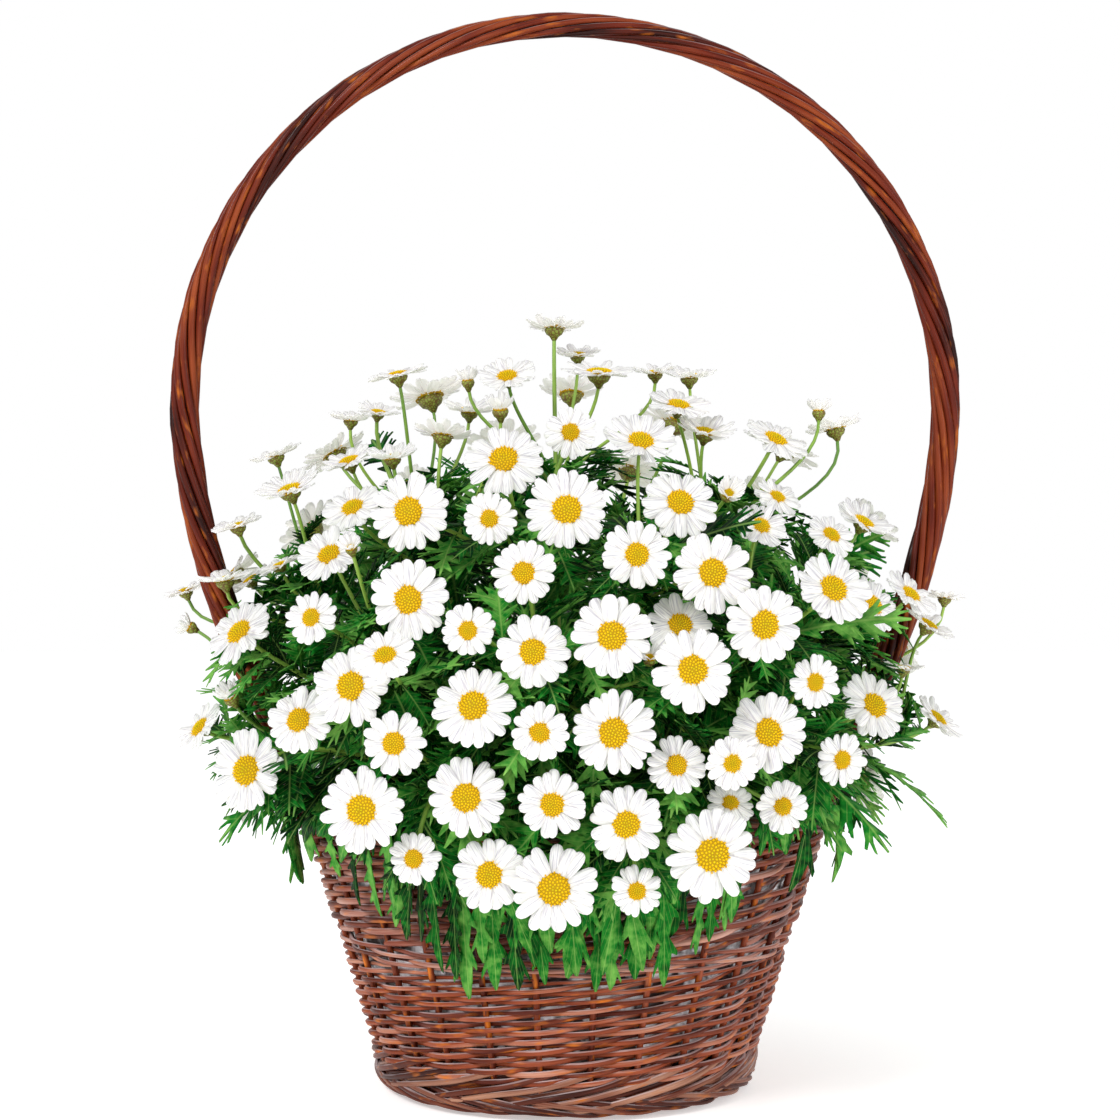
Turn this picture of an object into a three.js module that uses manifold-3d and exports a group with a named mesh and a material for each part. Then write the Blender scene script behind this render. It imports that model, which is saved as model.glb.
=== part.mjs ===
// A willow flower basket with a tall roped handle, planted with white marguerite daisies.
//
// Millimetres, +Z up. The basket's axis is Z, its front faces -Y and the handle stands across X.
// Everything is a closed skin drawn through rings of points: round the axis for the basket,
// along a path for the handle, and from each flower's eye down its stem for the plant.

import * as THREE from 'three';
import Module from 'manifold-3d';

const wasm = await Module();
wasm.setup();

// Driving dimensions.

const STAKES = 26;          // upright stakes in the wall
const FOOT_RADIUS = 100;    // outside of the woven wall, measured down at the ground
const FLARE = 0.31;         // radius gained for each millimetre of height
const WALL = 7;             // thickness of the woven wall
const SIDING_Z = 15;        // the wall starts on the foot border ...
const WALING_Z = 78;        // ... has a band of stout rods from here ...
const COARSE_Z = 118;       // ... coarser rods above it ...
const RIM_Z = 142;          // ... and ends under the rim border
const RIM_TOP = 157;
const GAP = 0.35;           // air left between pieces that touch

const LINER = 1;            // planting film inside the wall
const LINER_GAP = 0.8;
const FLOOR_Z = 14.9;
const SOIL_Z = 128;

const HANDLE_RING = 211.3;  // radius of the handle's bow ...
const HANDLE_HEART = 374;   // ... and height of its middle
const ROPE_LAY = 215;       // a rod of the handle comes round once in this length
const ROPE_RODS = 6;

const DOME = { z: 225, radius: 205, up: 172, down: 230 };  // the cushion of flowers
const EYE = { x: -3, y: -1300, z: 288 };                   // where the flowers are sighted from
const LEAFY_STEMS = 36;
const PETALS = 8;
const STEM = 1.7;           // corner radius of a leafy stem
const STALK = 1.45;         // corner radius of a flower stalk
const HOLE = 2.9;           // corner radius of the hole a stem stands in
const HOLE_DEPTH = 12;
const ROOT_RADIUS = 99;     // the outermost stems leave the soil this far from the axis

const WILLOW = '#7a3f28';
const WILLOW_DARK = '#5b3122';
const STAKE_GREY = '#6b5550';
const LEAF_GREEN = '#2f6b2a';

// Small helpers.

const TURN = 2 * Math.PI;
const vec = (x, y, z) => new THREE.Vector3(x, y, z);
const UP = vec(0, 0, 1);
const wallRadius = (z) => FOOT_RADIUS + FLARE * z;

let seed = 20417;
function random(low = 0, high = 1) {
  seed = (seed * 16807) % 2147483647;
  return low + (high - low) * (seed / 2147483647);
}

function circle(count, place) {
  return Array.from({ length: count }, (_, i) => place((TURN * i) / count, i));
}

// A closed skin through rings of points. Neighbouring rings may differ in number of points,
// a ring of one point is a tip, and a looped skin joins its last ring to its first. Where two
// rings match, each four-cornered patch is split along its shorter diagonal, so that both
// faces of a thin shell are split alike.
function skin(rings, looped = false) {
  const points = rings.flat();
  const start = [];
  rings.reduce((sum, ring) => (start.push(sum), sum + ring.length), 0);
  const faces = [];
  const add = (a, b, c) => { if (a !== b && b !== c && c !== a) faces.push(a, b, c); };
  const join = (p, q) => {
    const [n, m] = [rings[p].length, rings[q].length];
    const a = (i) => start[p] + (i % n);
    const b = (j) => start[q] + (j % m);
    for (let i = 0, j = 0; i < n || j < m;) {
      const stepA = n > 1 && i < n ? (i + 1) / n : 2;
      const stepB = m > 1 && j < m ? (j + 1) / m : 2;
      if (stepA > 1 && stepB > 1) break;
      const split = points[a(i)].distanceTo(points[b(j + 1)])
        - points[a(i + 1)].distanceTo(points[b(j)]);
      const onward = stepA === stepB ? split < 1e-4 : stepB < stepA;
      if (onward) {
        add(a(i), b(j), b(j + 1));
        j += 1;
      } else {
        add(a(i), b(j), a(i + 1));
        i += 1;
      }
    }
  };
  for (let k = 0; k + 1 < rings.length; k += 1) join(k, k + 1);
  if (looped) join(rings.length - 1, 0);
  else {
    const last = rings.length - 1;
    for (let i = 1; i + 1 < rings[0].length; i += 1) add(start[0], start[0] + i, start[0] + i + 1);
    for (let i = 1; i + 1 < rings[last].length; i += 1) {
      add(start[last], start[last] + i + 1, start[last] + i);
    }
  }
  let volume = 0;
  for (let i = 0; i < faces.length; i += 3) {
    const [a, b, c] = [points[faces[i]], points[faces[i + 1]], points[faces[i + 2]]];
    volume += a.dot(b.clone().cross(c));
  }
  if (volume < 0) for (let i = 0; i < faces.length; i += 3) faces.splice(i, 2, faces[i + 1], faces[i]);
  return new wasm.Manifold(new wasm.Mesh({
    numProp: 3,
    vertProperties: Float32Array.from(points.flatMap((p) => [p.x, p.y, p.z])),
    triVerts: Uint32Array.from(faces),
  }));
}

const object = new THREE.Group();

function piece(name, solid, color, roughness) {
  const mesh = solid.getMesh();
  const geometry = new THREE.BufferGeometry();
  geometry.setAttribute('position', new THREE.BufferAttribute(mesh.vertProperties, 3));
  geometry.setIndex(new THREE.BufferAttribute(mesh.triVerts, 1));
  geometry.computeVertexNormals();
  const material = new THREE.MeshStandardMaterial({ color, roughness, metalness: 0 });
  const part = new THREE.Mesh(geometry, material);
  part.name = name;
  object.add(part);
}

// Basket.

// A band of weaving: each course of rods passes in front of one stake and behind the next.
function wovenBand(low, high, courses, swell) {
  const ring = (z, depth, j0) => circle(STAKES, (angle, i) => {
    const weave = (i + j0) % 2 ? swell : -swell;
    const r = wallRadius(z) - depth + weave;
    return vec(r * Math.cos(angle), r * Math.sin(angle), z);
  });
  const outer = Array.from({ length: courses }, (_, k) => (
    ring(low + ((high - low) * (k + (k === courses - 1 ? 1 : k === 0 ? 0 : 0.5))) / courses, swell, k)));
  const inner = [high, low].map((z) => circle(STAKES, (angle) => {
    const r = wallRadius(z) - WALL;
    return vec(r * Math.cos(angle), r * Math.sin(angle), z);
  }));
  return skin([...outer, ...inner], true);
}

// A border of rods laid over one another: ribs that slant round a ring of the given section.
function border(section, slant, swell) {
  const height = section.map(([, z]) => z);
  const mid = (Math.min(...height) + Math.max(...height)) / 2;
  return skin(section.map(([radius, z, ribbed]) => circle(2 * STAKES, (angle, i) => {
    const r = radius + (ribbed && i % 2 ? swell * ribbed : 0);
    const turned = angle + slant * (z - mid);
    return vec(r * Math.cos(turned), r * Math.sin(turned), z);
  })), true);
}

// The handle's path, from the end of its left leg over the top to the end of its right leg.
const legPoints = [[204, 312], [184, 246], [163, 202], [149, 166], [136.5, 148],
  [122, 122], [111, 85], [103, 50]];
const bow = circle(96, (angle) => vec(HANDLE_RING * Math.sin(angle - Math.PI), 0,
  HANDLE_HEART + HANDLE_RING * Math.cos(angle - Math.PI))).filter((p) => p.z > 350);
const handleCurve = new THREE.CatmullRomCurve3([
  ...legPoints.map(([x, z]) => vec(-x, 0, z)).reverse(), ...bow,
  ...legPoints.map(([x, z]) => vec(x, 0, z))], false, 'centripetal');

function handleRadius(z) {
  if (z > 300) return 8.7 - 1.4 * Math.max(0, (z - 374) / 211) ** 1.5;
  return THREE.MathUtils.clamp(3.6 + (z - 40) * 0.036, 4, 8.7);
}

// The handle's body, grown a little where it is the tool that leaves room for itself.
function rope(grow, ribs) {
  const length = handleCurve.getLength();
  const steps = 36;
  const rings = Array.from({ length: steps + 1 }, (_, k) => {
    const along = k / steps;
    const centre = handleCurve.getPointAt(along);
    const tangent = handleCurve.getTangentAt(along);
    const outward = vec(0, -1, 0).cross(tangent).negate();
    return circle(2 * ROPE_RODS, (angle, i) => {
      const r = handleRadius(centre.z) * (i % 2 ? 1 - ribs : 1) + grow;
      const turned = -angle + (TURN * along * length) / ROPE_LAY;
      return centre.clone().addScaledVector(outward, r * Math.cos(turned))
        .addScaledVector(vec(0, -1, 0), r * Math.sin(turned));
    });
  });
  return skin(rings);
}

const handle = rope(0, 0.13);
const channel = rope(GAP + 0.15, 0);
piece('handle', handle, WILLOW, 0.55);

const foot = border([[97, 0, 0], [104, 0, 0], [106.2, 5, 1], [103.5, 14.2, 1],
  [96.5, 14.4, 0.4]], 0.021, 2);
piece('foot_border', foot, WILLOW_DARK, 0.6);

const baseRings = [[0, 5], [30, 5.4], [60, 5], [92.5, 5.4], [93.5, 12], [0, 12.4]];
piece('basket_base', skin(baseRings.map(([r, z], k) => (r === 0 ? [vec(0, 0, z)]
  : circle(STAKES, (angle, i) => vec(r * Math.cos(angle), r * Math.sin(angle),
    z + (k < 4 && (i + k) % 2 ? -1.2 : 0)))))), STAKE_GREY, 0.7);

piece('siding', wovenBand(SIDING_Z, WALING_Z, 10, 1.5), WILLOW, 0.6);
piece('waling', wovenBand(WALING_Z + GAP, COARSE_Z, 5, 2), WILLOW_DARK, 0.6);
piece('upper_siding', wovenBand(COARSE_Z + GAP, RIM_Z, 4, 1.8).subtract(channel), WILLOW, 0.6);
const rim = border([[134, RIM_Z + GAP, 0], [146, RIM_Z + GAP, 0.5], [150, 150, 1],
  [141, RIM_TOP, 0.6]], 0.022, 1.6);
piece('rim_border', rim.subtract(channel), WILLOW_DARK, 0.6);

// The film hugs the wall and steps in where the handle's legs run down behind the weaving.
function lined(angle, z, inset) {
  const side = Math.abs(Math.sin(angle)) * wallRadius(z);
  const step = (13 + 0.04 * z) * Math.exp(-((side / 19) ** 4)) * (z > 30 ? 1 : 0);
  return wallRadius(z) - WALL - LINER_GAP - inset - step;
}
const linedRing = (z, inset, flat = z) => circle(STAKES, (angle) => {
  const r = lined(angle, z, inset);
  return vec(r * Math.cos(angle), r * Math.sin(angle), flat);
});
const LINER_TOP = 138;
piece('liner', skin([[vec(0, 0, FLOOR_Z)], linedRing(15, 0, FLOOR_Z), linedRing(36, 0),
  linedRing(LINER_TOP, 0), linedRing(LINER_TOP, LINER), linedRing(36, LINER),
  linedRing(15, LINER, FLOOR_Z + LINER),
  [vec(0, 0, FLOOR_Z + LINER)]]), '#c9c7c4', 0.35);

// Where the flowers stand.

// Flowers of the front and the skyline, sighted from the front on the upright plane through
// the axis: across, up, width, lean from facing out (0) to facing the sky (1), and how far
// forward the sight line is followed: 1 on the front of the cushion, 0 on the plane, -1 behind.
const SIGHTED = [
  [-6, 417, 34, 1.06, 0], [7, 402, 27, 1.15, -0.5], [19, 392, 42, 0.85, 0.35],
  [-32, 390, 34, 0.6, 0.5], [-93, 391, 34, 0.85, 0.2], [50, 392, 27, 1.1, -0.3],
  [69, 390, 32, 1.1, -0.1], [63, 374, 37, 0.7, 0.5], [-68, 357, 34, 1.15, 0.35],
  [-53, 371, 32, 1.15, -0.5], [-104, 370, 25, 1.2, -0.5], [-119, 366, 26, 1.1, -0.3],
  [-96, 345, 31, 0.85, 0.5], [-120, 343, 34, 0.7, 0.4], [-161, 346, 31, 0.8, 0.1],
  [-153, 327, 40, 0.7, 0.5], [-118, 317, 37, 0.5, 0.7], [-182, 307, 29, 0.8, 0.4],
  [-131, 291, 39, 0.45, 0.8], [-87, 315, 46, 0.1, 1], [-42, 311, 31, 0, 1], [-34, 344, 46, 0.35, 1],
  [3, 359, 30, 0.05, 0.95], [1, 316, 47, 0.1, 1], [42, 354, 43, 0.55, 0.8], [64, 320, 43, 0.3, 1],
  [78, 359, 36, 0.75, 0.4], [117, 355, 39, 0.6, 0.4], [150, 361, 34, 1.15, 0],
  [109, 307, 31, 0.4, 0.8], [118, 323, 28, 0.5, 0.5], [148, 302, 30, 0.45, 0.7],
  [166, 309, 36, 0.6, 0.4], [149, 272, 46, 0.3, 1], [171, 263, 36, 0.3, 0.6],
  [192, 269, 34, 0.5, 0.5], [202, 252, 33, 0.6, 0.3], [211, 267, 24, 0.9, -0.2],
  [82, 281, 47, 0.05, 1], [40, 291, 39, 0, 1], [-23, 281, 37, 0, 1], [-87, 266, 46, 0, 1],
  [-141, 256, 31, 0.15, 1], [-181, 248, 43, 0.4, 0.6], [-189, 277, 34, 0.9, 0.3],
  [-211, 271, 26, 0.8, 0.1], [-175, 277, 27, 0.6, 0.1], [-159, 285, 26, 0.7, 0.2],
  [-203, 195, 34, 0.4, 0.4], [-177, 171, 48, 0.1, 0.9], [-148, 199, 40, 0.2, 1],
  [-119, 218, 46, 0.15, 1], [-100, 235, 37, 0.5, 1.1], [-54, 249, 31, 0, 1], [-18, 237, 42, 0, 1],
  [26, 246, 47, 0.05, 1], [71, 227, 48, 0, 1.05], [64, 252, 39, 0.3, 0.85], [111, 252, 46, 0, 1],
  [139, 220, 31, 0.05, 1], [172, 207, 42, 0.3, 0.8], [207, 200, 34, 0.5, 0.3],
  [188, 228, 25, 0.9, 0.2], [154, 177, 31, 0, 1], [113, 192, 46, 0.15, 1], [93, 175, 31, 0, 1.05],
  [62, 174, 34, 0.1, 1], [27, 192, 49, 0, 1], [-14, 192, 34, 0, 1], [-51, 207, 48, 0.25, 1],
  [-95, 186, 38, 0, 1], [-113, 149, 49, 0, 1.05], [-55, 156, 46, 0, 1], [-7, 152, 39, 0, 1],
  [34, 141, 44, 0, 1], [92, 153, 28, 0.4, 0.9], [121, 151, 31, 0, 1], [82, 124, 54, 0, 1.05],
  [-84, 122, 31, 0, 1], [-42, 113, 43, 0, 1], [-6, 105, 51, 0.05, 1.05], [40, 104, 30, 0, 1],
  // buds that are half open, known by their small width
  [-54, 388, 17, 0.9, 0.3], [-36, 372, 21, 0.8, 0.6], [91, 325, 21, 0.3, 0.8],
  [141, 371, 17, 1, 0.1], [-209, 251, 16, 0.3, 0.2], [-186, 212, 20, 0.6, 0.45],
  [-119, 295, 16, 0.6, 0.9], [47, 234, 18, 0.6, 0.9],
];
const BUD_WIDTH = 22;
const BACK_SPOTS = 72;      // even spots over the whole cushion; those at the back get a flower

// Balls that stand for the room each stem, flower and leaf takes up.
const taken = [];
function roomFor(balls, skip = () => false) {
  let room = Infinity;
  for (const other of taken) {
    if (skip(other)) continue;
    for (const [p, r] of balls) {
      const reach = p.distanceTo(other.p) - r - other.r;
      if (reach < room) room = reach;
    }
  }
  return room;
}
const take = (balls, tag) => balls.forEach(([p, r]) => taken.push({ p, r, ...tag }));

// Room left between a ball and the basket's wall, rim and soil.
function basketRoom([p, r]) {
  const radius = Math.hypot(p.x, p.y);
  if (p.z > RIM_TOP + 1) {
    const beside = Math.max(0, Math.abs(radius - 142) - 9);
    return Math.hypot(beside, p.z - RIM_TOP - 1) - r;
  }
  if (radius > 140) return radius - r - Math.max(wallRadius(p.z) + 1.5, p.z > 138 ? 153 : 0);
  return Math.min(p.z - SOIL_Z - r, 115 - radius - r);
}

for (let k = 0; k <= 150; k += 1) {
  const p = handleCurve.getPointAt(k / 150);
  if (p.z > 100) take([[p, handleRadius(p.z) + 2]], {});
}

function frameOf(normal, roll) {
  const side = Math.abs(normal.z) > 0.95 ? vec(1, 0, 0) : UP.clone();
  const u = side.cross(normal).normalize();
  const v = normal.clone().cross(u);
  return [u.clone().multiplyScalar(Math.cos(roll)).addScaledVector(v, Math.sin(roll)),
    v.clone().multiplyScalar(Math.cos(roll)).addScaledVector(u, -Math.sin(roll))];
}

function flowerBalls({ at, facing, radius }) {
  const [u, v] = frameOf(facing, 0);
  const ring = (count, reach, r) => circle(count, (angle) => [at.clone()
    .addScaledVector(u, reach * radius * Math.cos(angle))
    .addScaledVector(v, reach * radius * Math.sin(angle)), r]);
  return [[at.clone().addScaledVector(facing, -1.5), 5.5], ...ring(6, 0.45, 4),
    ...ring(12, 0.85, 0.16 * radius + 0.4)];
}

function sight([across, up, width, lean, forward], shift) {
  let y = -150;
  const at = vec(0, 0, 0);
  const place = (depth) => {
    const near = (depth - EYE.y) / -EYE.y;
    at.set(EYE.x + (across - EYE.x) * near, depth, EYE.z + (up - EYE.z) * near);
  };
  for (let k = 0; k < 12; k += 1) {
    place(y);
    const tall = at.z > DOME.z ? DOME.up : DOME.down;
    const left = 1 - (at.x / DOME.radius) ** 2 - ((at.z - DOME.z) / tall) ** 2;
    y = -DOME.radius * Math.sqrt(Math.max(left, 0));
  }
  place(Math.min(y, -40) * forward + shift);
  const toFront = forward < 0 ? -0.6 : Math.max(forward, 0.15);
  const out = vec((0.6 * at.x) / DOME.radius, -toFront, 0).normalize();
  const rise = (lean * Math.PI) / 2;
  const facing = out.multiplyScalar(Math.cos(rise)).addScaledVector(UP, Math.sin(rise)).normalize();
  const radius = (width / 2) * ((at.y - EYE.y) / -EYE.y);
  return { at, facing, radius, bud: width < BUD_WIDTH };
}

const flowers = [];
const SHIFTS = [0, -6, 6, -12, 12, -18, 18, -24, 24, -32, 32];
function standFlower(candidates, needed) {
  let best = null;
  for (const flower of candidates) {
    const balls = flowerBalls(flower);
    const room = Math.min(roomFor(balls), ...balls.map(basketRoom));
    if (!best || room > best.room) best = { room, flower, balls };
    if (room > 0.6) break;
  }
  if (best.room <= 0.2 && !needed) return;
  best.flower.roll = random(0, TURN);
  best.flower.index = flowers.length;
  take(best.balls, { flower: flowers.length });
  flowers.push(best.flower);
}
SIGHTED.forEach((row) => standFlower(SHIFTS.map((shift) => sight(row, shift)), true));

for (let k = 0; k < BACK_SPOTS; k += 1) {
  const height = 1 - (1.38 * (k + 0.5)) / BACK_SPOTS;
  const angle = k * Math.PI * (3 - Math.sqrt(5)) + 0.6;
  const round = Math.sqrt(1 - height * height);
  const spot = vec(round * Math.cos(angle), round * Math.sin(angle), height);
  const width = random(34, 48);
  const lift = random(0.15, 0.5);
  if (spot.y * DOME.radius < 22) continue;
  standFlower([1, 0.95, 1.05, 0.9].map((scale) => {
    const at = vec(spot.x * DOME.radius, spot.y * DOME.radius,
      (spot.z > 0 ? DOME.up : DOME.down * 0.9) * spot.z).multiplyScalar(scale);
    at.z += DOME.z;
    const facing = vec(spot.x, spot.y, Math.max(spot.z, -0.15) + lift).normalize();
    return { at, facing, radius: width / 2, bud: false };
  }), false);
}

// Leafy stems.

// The stems that lead are the flowers standing furthest from one another, and every other
// flower branches off the leafy stem that points most nearly its way.
const HEART = vec(0, 0, 150);
const aims = flowers.map((flower) => flower.at.clone().sub(HEART).normalize());
const leaders = [0];
while (leaders.length < LEAFY_STEMS) {
  const lonely = aims.map((aim) => Math.min(...leaders.map((k) => aim.angleTo(aims[k]))));
  leaders.push(lonely.indexOf(Math.max(...lonely)));
}
for (const flower of flowers) {
  const angles = leaders.map((k) => aims[flower.index].angleTo(aims[k]));
  flower.spray = angles.indexOf(Math.min(...angles));
}

// Stems and stalks are drawn with a few straight lengths between points of their curves.
const LENGTHS = 4;
const STALK_LENGTHS = 2;
function onLengths(curve, t, lengths) {
  const k = Math.min(Math.floor(t * lengths), lengths - 1);
  return curve.getPoint(k / lengths).lerp(curve.getPoint((k + 1) / lengths), t * lengths - k);
}
const curveBalls = (curve, from, lengths, r, count) => Array.from({ length: count + 1 }, (_, k) => [
  onLengths(curve, from + ((1 - from) * k) / count, lengths), r]);

// A stem from the soil: upright at first, then leaning out to come up behind its flower.
function stemCurve(root, flower, bend) {
  const { at, facing } = flower;
  const across = vec(-at.y, at.x, 0).normalize();
  const low = Math.max(0, 205 - at.z);
  const rise = Math.max(0.5 * (at.z - SOIL_Z), 62);
  const end = at.clone().addScaledVector(facing, -5);
  return new THREE.CubicBezierCurve3(root,
    root.clone().addScaledVector(UP, rise).addScaledVector(across, bend * 0.5),
    end.clone().addScaledVector(facing, -Math.max(14, 40 - low)).addScaledVector(UP, 0.85 * low)
      .addScaledVector(across, bend), end);
}

// A flower stalk off a leafy stem, starting along the stem and ending behind the flower.
function stalkCurve(stem, t, flower, bend) {
  const { at, facing } = flower;
  const root = onLengths(stem, t, LENGTHS);
  const end = at.clone().addScaledVector(facing, -5);
  const span = root.distanceTo(end);
  const across = vec(-at.y, at.x, 0).normalize();
  return new THREE.CubicBezierCurve3(root,
    root.clone().lerp(end, 0.16).addScaledVector(stem.getTangent(t), span * 0.2)
      .addScaledVector(across, bend * 0.5),
    end.clone().addScaledVector(facing, -Math.max(10, span * 0.3)).addScaledVector(across, bend), end);
}

const BENDS = [0, 8, -8, 16, -16, 26, -26, 38, -38];
const sprays = [];
leaders.forEach((leader, spray) => {
  const { at } = flowers[leader];
  const polar = Math.acos(THREE.MathUtils.clamp(aims[leader].z, -1, 1));
  const reach = ROOT_RADIUS * Math.min(1, polar / 1.85) ** 0.8;
  let root = null;
  for (let k = 0; !root || sprays.some((s) => s.root.distanceTo(root) < 9); k += 1) {
    const bearing = Math.atan2(at.y, at.x) + (k % 2 ? 0.06 : -0.06) * k;
    root = vec(reach * Math.cos(bearing), reach * Math.sin(bearing), SOIL_Z + 4);
  }
  sprays.push({ spray, leader, root });
});
for (const s of sprays) {
  let best = null;
  for (const bend of BENDS) {
    const curve = stemCurve(s.root, flowers[s.leader], bend);
    const balls = curveBalls(curve, 0, LENGTHS, STEM + 0.3, 60);
    const room = Math.min(roomFor(balls, (o) => o.flower === s.leader),
      ...balls.slice(5).map(basketRoom));
    if (!best || room > best.room) best = { room, curve, balls };
    if (room > 0.5) break;
  }
  s.curve = best.curve;
  take(best.balls, { stem: s.spray });
}
for (const s of sprays) {
  s.stalks = [];
  for (const flower of flowers) {
    if (flower.spray !== s.spray || flower.index === s.leader) continue;
    let best = null;
    for (const t of [0.55, 0.65, 0.45, 0.75, 0.35]) {
      for (const bend of BENDS.slice(0, 7)) {
        const curve = stalkCurve(s.curve, t, flower, bend);
        const balls = curveBalls(curve, 0.2, STALK_LENGTHS, STALK + 0.3, 24);
        const room = Math.min(roomFor(balls, (o) => o.flower === flower.index || o.stem === s.spray),
          ...balls.map(basketRoom));
        if (!best || room > best.room) best = { room, curve, balls, flower };
        if (room > 0.5) break;
      }
      if (best.room > 0.5) break;
    }
    s.stalks.push(best);
    take(best.balls, { stalk: s.spray });
  }
}

// Rings of a flower and of the stem below it. The petals are lobes of one thin star.
function flowerRings({ at, facing, radius, roll, bud }, curve, r, roots) {
  const [u, v] = frameOf(facing, roll);
  const spot = (reach, angle, rise) => at.clone().addScaledVector(facing, rise)
    .addScaledVector(u, reach * Math.cos(angle)).addScaledVector(v, reach * Math.sin(angle));
  const eye = (bud ? 0.45 : 0.29) * radius;
  const petals = bud ? PETALS - 3 : radius > 21 ? PETALS : radius > 16 ? PETALS - 1 : PETALS - 2;
  const cup = bud ? radius : 0;
  const lobe = [[0.66, 0, 0.4 * cup - 0.4], [1, 0.3, cup - 1.2], [1, 0.7, cup - 1.2]];
  const rings = [[spot(0, 0, 0.32 * eye + 1.2)],
    circle(petals, (angle) => spot(eye, angle, 0.8)),
    circle(3 * petals, (_, i) => {
      const [reach, part, rise] = lobe[i % 3];
      return spot(reach * radius, (TURN * (Math.floor(i / 3) + part)) / petals, rise);
    })];
  let side = u.clone();
  for (let k = 0; k <= roots; k += 1) {
    const t = 1 - k / roots;
    const along = curve.getTangent(t).negate();
    side.addScaledVector(along, -side.dot(along)).normalize();
    const over = side.clone().cross(along).negate();
    const centre = curve.getPoint(t);
    const corner = k === roots && roots < LENGTHS ? 0.35 * r : r;
    rings.push(circle(3, (angle) => centre.clone()
      .addScaledVector(side, corner * Math.cos(-angle)).addScaledVector(over, corner * Math.sin(-angle))));
  }
  return rings;
}

// A leaf cut into lobes on both sides of its rib: half widths and places along its length.
const LOBES = [[0.36, 0.27], [0.45, 0.085], [0.61, 0.31], [0.7, 0.09], [0.84, 0.19]];
function leafRings(curve, face, length, plump) {
  const rings = [];
  const add = (t, half, thick) => {
    const along = curve.getTangent(t);
    const side = along.clone().cross(face).normalize();
    const over = side.clone().cross(along);
    const rib = curve.getPoint(t);
    const edge = rib.clone().addScaledVector(along, 0.4 * half * length)
      .addScaledVector(over, -0.12 * half * length);
    rings.push([edge.clone().addScaledVector(side, half * length),
      edge.addScaledVector(side, -half * length), rib.addScaledVector(over, thick)]);
  };
  add(0, 0.45 / length, 0.5);
  add(0.1, 0.9 / length, 0.9);
  LOBES.forEach(([t, half]) => add(t, half * plump, 1.6));
  rings.push([curve.getPoint(1)]);
  return rings;
}
function leafBalls(curve, face, length, plump) {
  const rib = [0.12, 0.2, 0.28, 0.36, 0.45, 0.53, 0.61, 0.7, 0.77, 0.84, 0.92, 1]
    .map((t) => [curve.getPoint(t), 2.2]);
  const lobes = LOBES.filter(([, half]) => half > 0.1).flatMap(([t, half]) => {
    const side = curve.getTangent(t).cross(face).normalize();
    return [-1, -0.7, -0.4, 0.4, 0.7, 1].map((part) => [curve.getPoint(t)
      .addScaledVector(curve.getTangent(t), 0.4 * half * length * Math.abs(part))
      .addScaledVector(side, part * half * plump * length), 2.6]);
  });
  return [...rib, ...lobes];
}

const LEAVES = 72;
const LEAF_ROOM = 0.6;
let leafCount = 0;
for (const s of sprays) s.leaves = [];
for (let round = 0; round < 14 && leafCount < LEAVES; round += 1) {
  for (const s of sprays) {
    if (leafCount >= LEAVES || s.leaves.length >= 4) continue;
    const low = flowers[s.leader].at.z < 215;
    const t = low ? random(0.42, 0.8) : random(0.35, 0.86);
    const from = onLengths(s.curve, t, LENGTHS);
    const along = s.curve.getTangent(t);
    const out = vec(from.x, from.y, 0).normalize();
    const turn = random(-1.25, 1.25);
    const hang = low ? random(0.2, 0.9) : 0;
    const way = out.clone().applyAxisAngle(UP, turn).addScaledVector(along, 0.6)
      .addScaledVector(UP, low ? -hang : random(0, 0.45)).normalize();
    const length = random(54, 72);
    const plump = random(0.9, 1.2);
    const tip = from.clone().addScaledVector(way, length).addScaledVector(UP, -9 - 28 * hang);
    if (Math.hypot(tip.x, tip.y) > 213 || tip.z < 84) continue;
    const middle = from.clone().addScaledVector(way, length * 0.55);
    const curve = new THREE.QuadraticBezierCurve3(from, middle, tip);
    const face = out.clone().addScaledVector(UP, low ? 0.5 : 1).normalize();
    if (Math.abs(face.dot(way)) > 0.93) continue;
    const balls = leafBalls(curve, face, length, plump);
    const room = Math.min(roomFor(balls.slice(0, 3), (o) => o.stem === s.spray), roomFor(balls.slice(3)));
    if (Math.min(room, ...balls.map(basketRoom)) < LEAF_ROOM) continue;
    s.leaves.push({ curve, face, length, plump });
    take(balls, {});
    leafCount += 1;
  }
}

const holes = [];
for (const s of sprays) {
  const [x, y] = [s.root.x, s.root.y];
  const foot = flowerRings(flowers[s.leader], s.curve, STEM, LENGTHS);
  const last = foot[foot.length - 1];
  foot[foot.length - 1] = last.map((p) => vec(p.x, p.y, SOIL_Z + 3));
  foot.push(last.map((p) => vec(p.x, p.y, SOIL_Z - HOLE_DEPTH + GAP)));
  holes.push(skin([[SOIL_Z - HOLE_DEPTH], [SOIL_Z + 3]].map(([z]) => (
    circle(5, (angle) => vec(x + HOLE * Math.cos(angle), y + HOLE * Math.sin(angle), z))))));
  const solids = [skin(foot),
    ...s.stalks.map(({ curve, flower }) => skin(flowerRings(flower, curve, STALK, STALK_LENGTHS))),
    ...s.leaves.map(({ curve, face, length, plump }) => skin(leafRings(curve, face, length, plump)))];
  s.solid = solids.reduce((whole, more) => whole.add(more));
  piece(`spray_${String(s.spray + 1).padStart(2, '0')}`, s.solid, LEAF_GREEN, 0.5);
}

const packed = LINER + GAP + 0.3;
const soil = skin([[vec(0, 0, SOIL_Z)], linedRing(SOIL_Z - 3, packed), linedRing(36, packed),
  linedRing(15, packed, FLOOR_Z + LINER + GAP), [vec(0, 0, FLOOR_Z + LINER + GAP)]]);
piece('soil', holes.reduce((whole, hole) => whole.subtract(hole), soil), '#3a2b22', 0.95);

export default object;
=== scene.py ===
# %% [markdown]
# A willow flower basket planted with white marguerite daisies.
#
# The basket is a round one with walls that flare, a border at its foot and another at its rim,
# and a tall hoop handle of twisted rods. A cushion of daisies stands in it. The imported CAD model
# is loaded first, as a frame that nothing here moves. Every piece is then built over the part of
# the frame that it stands for, so that the picture and the solids agree.

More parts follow.
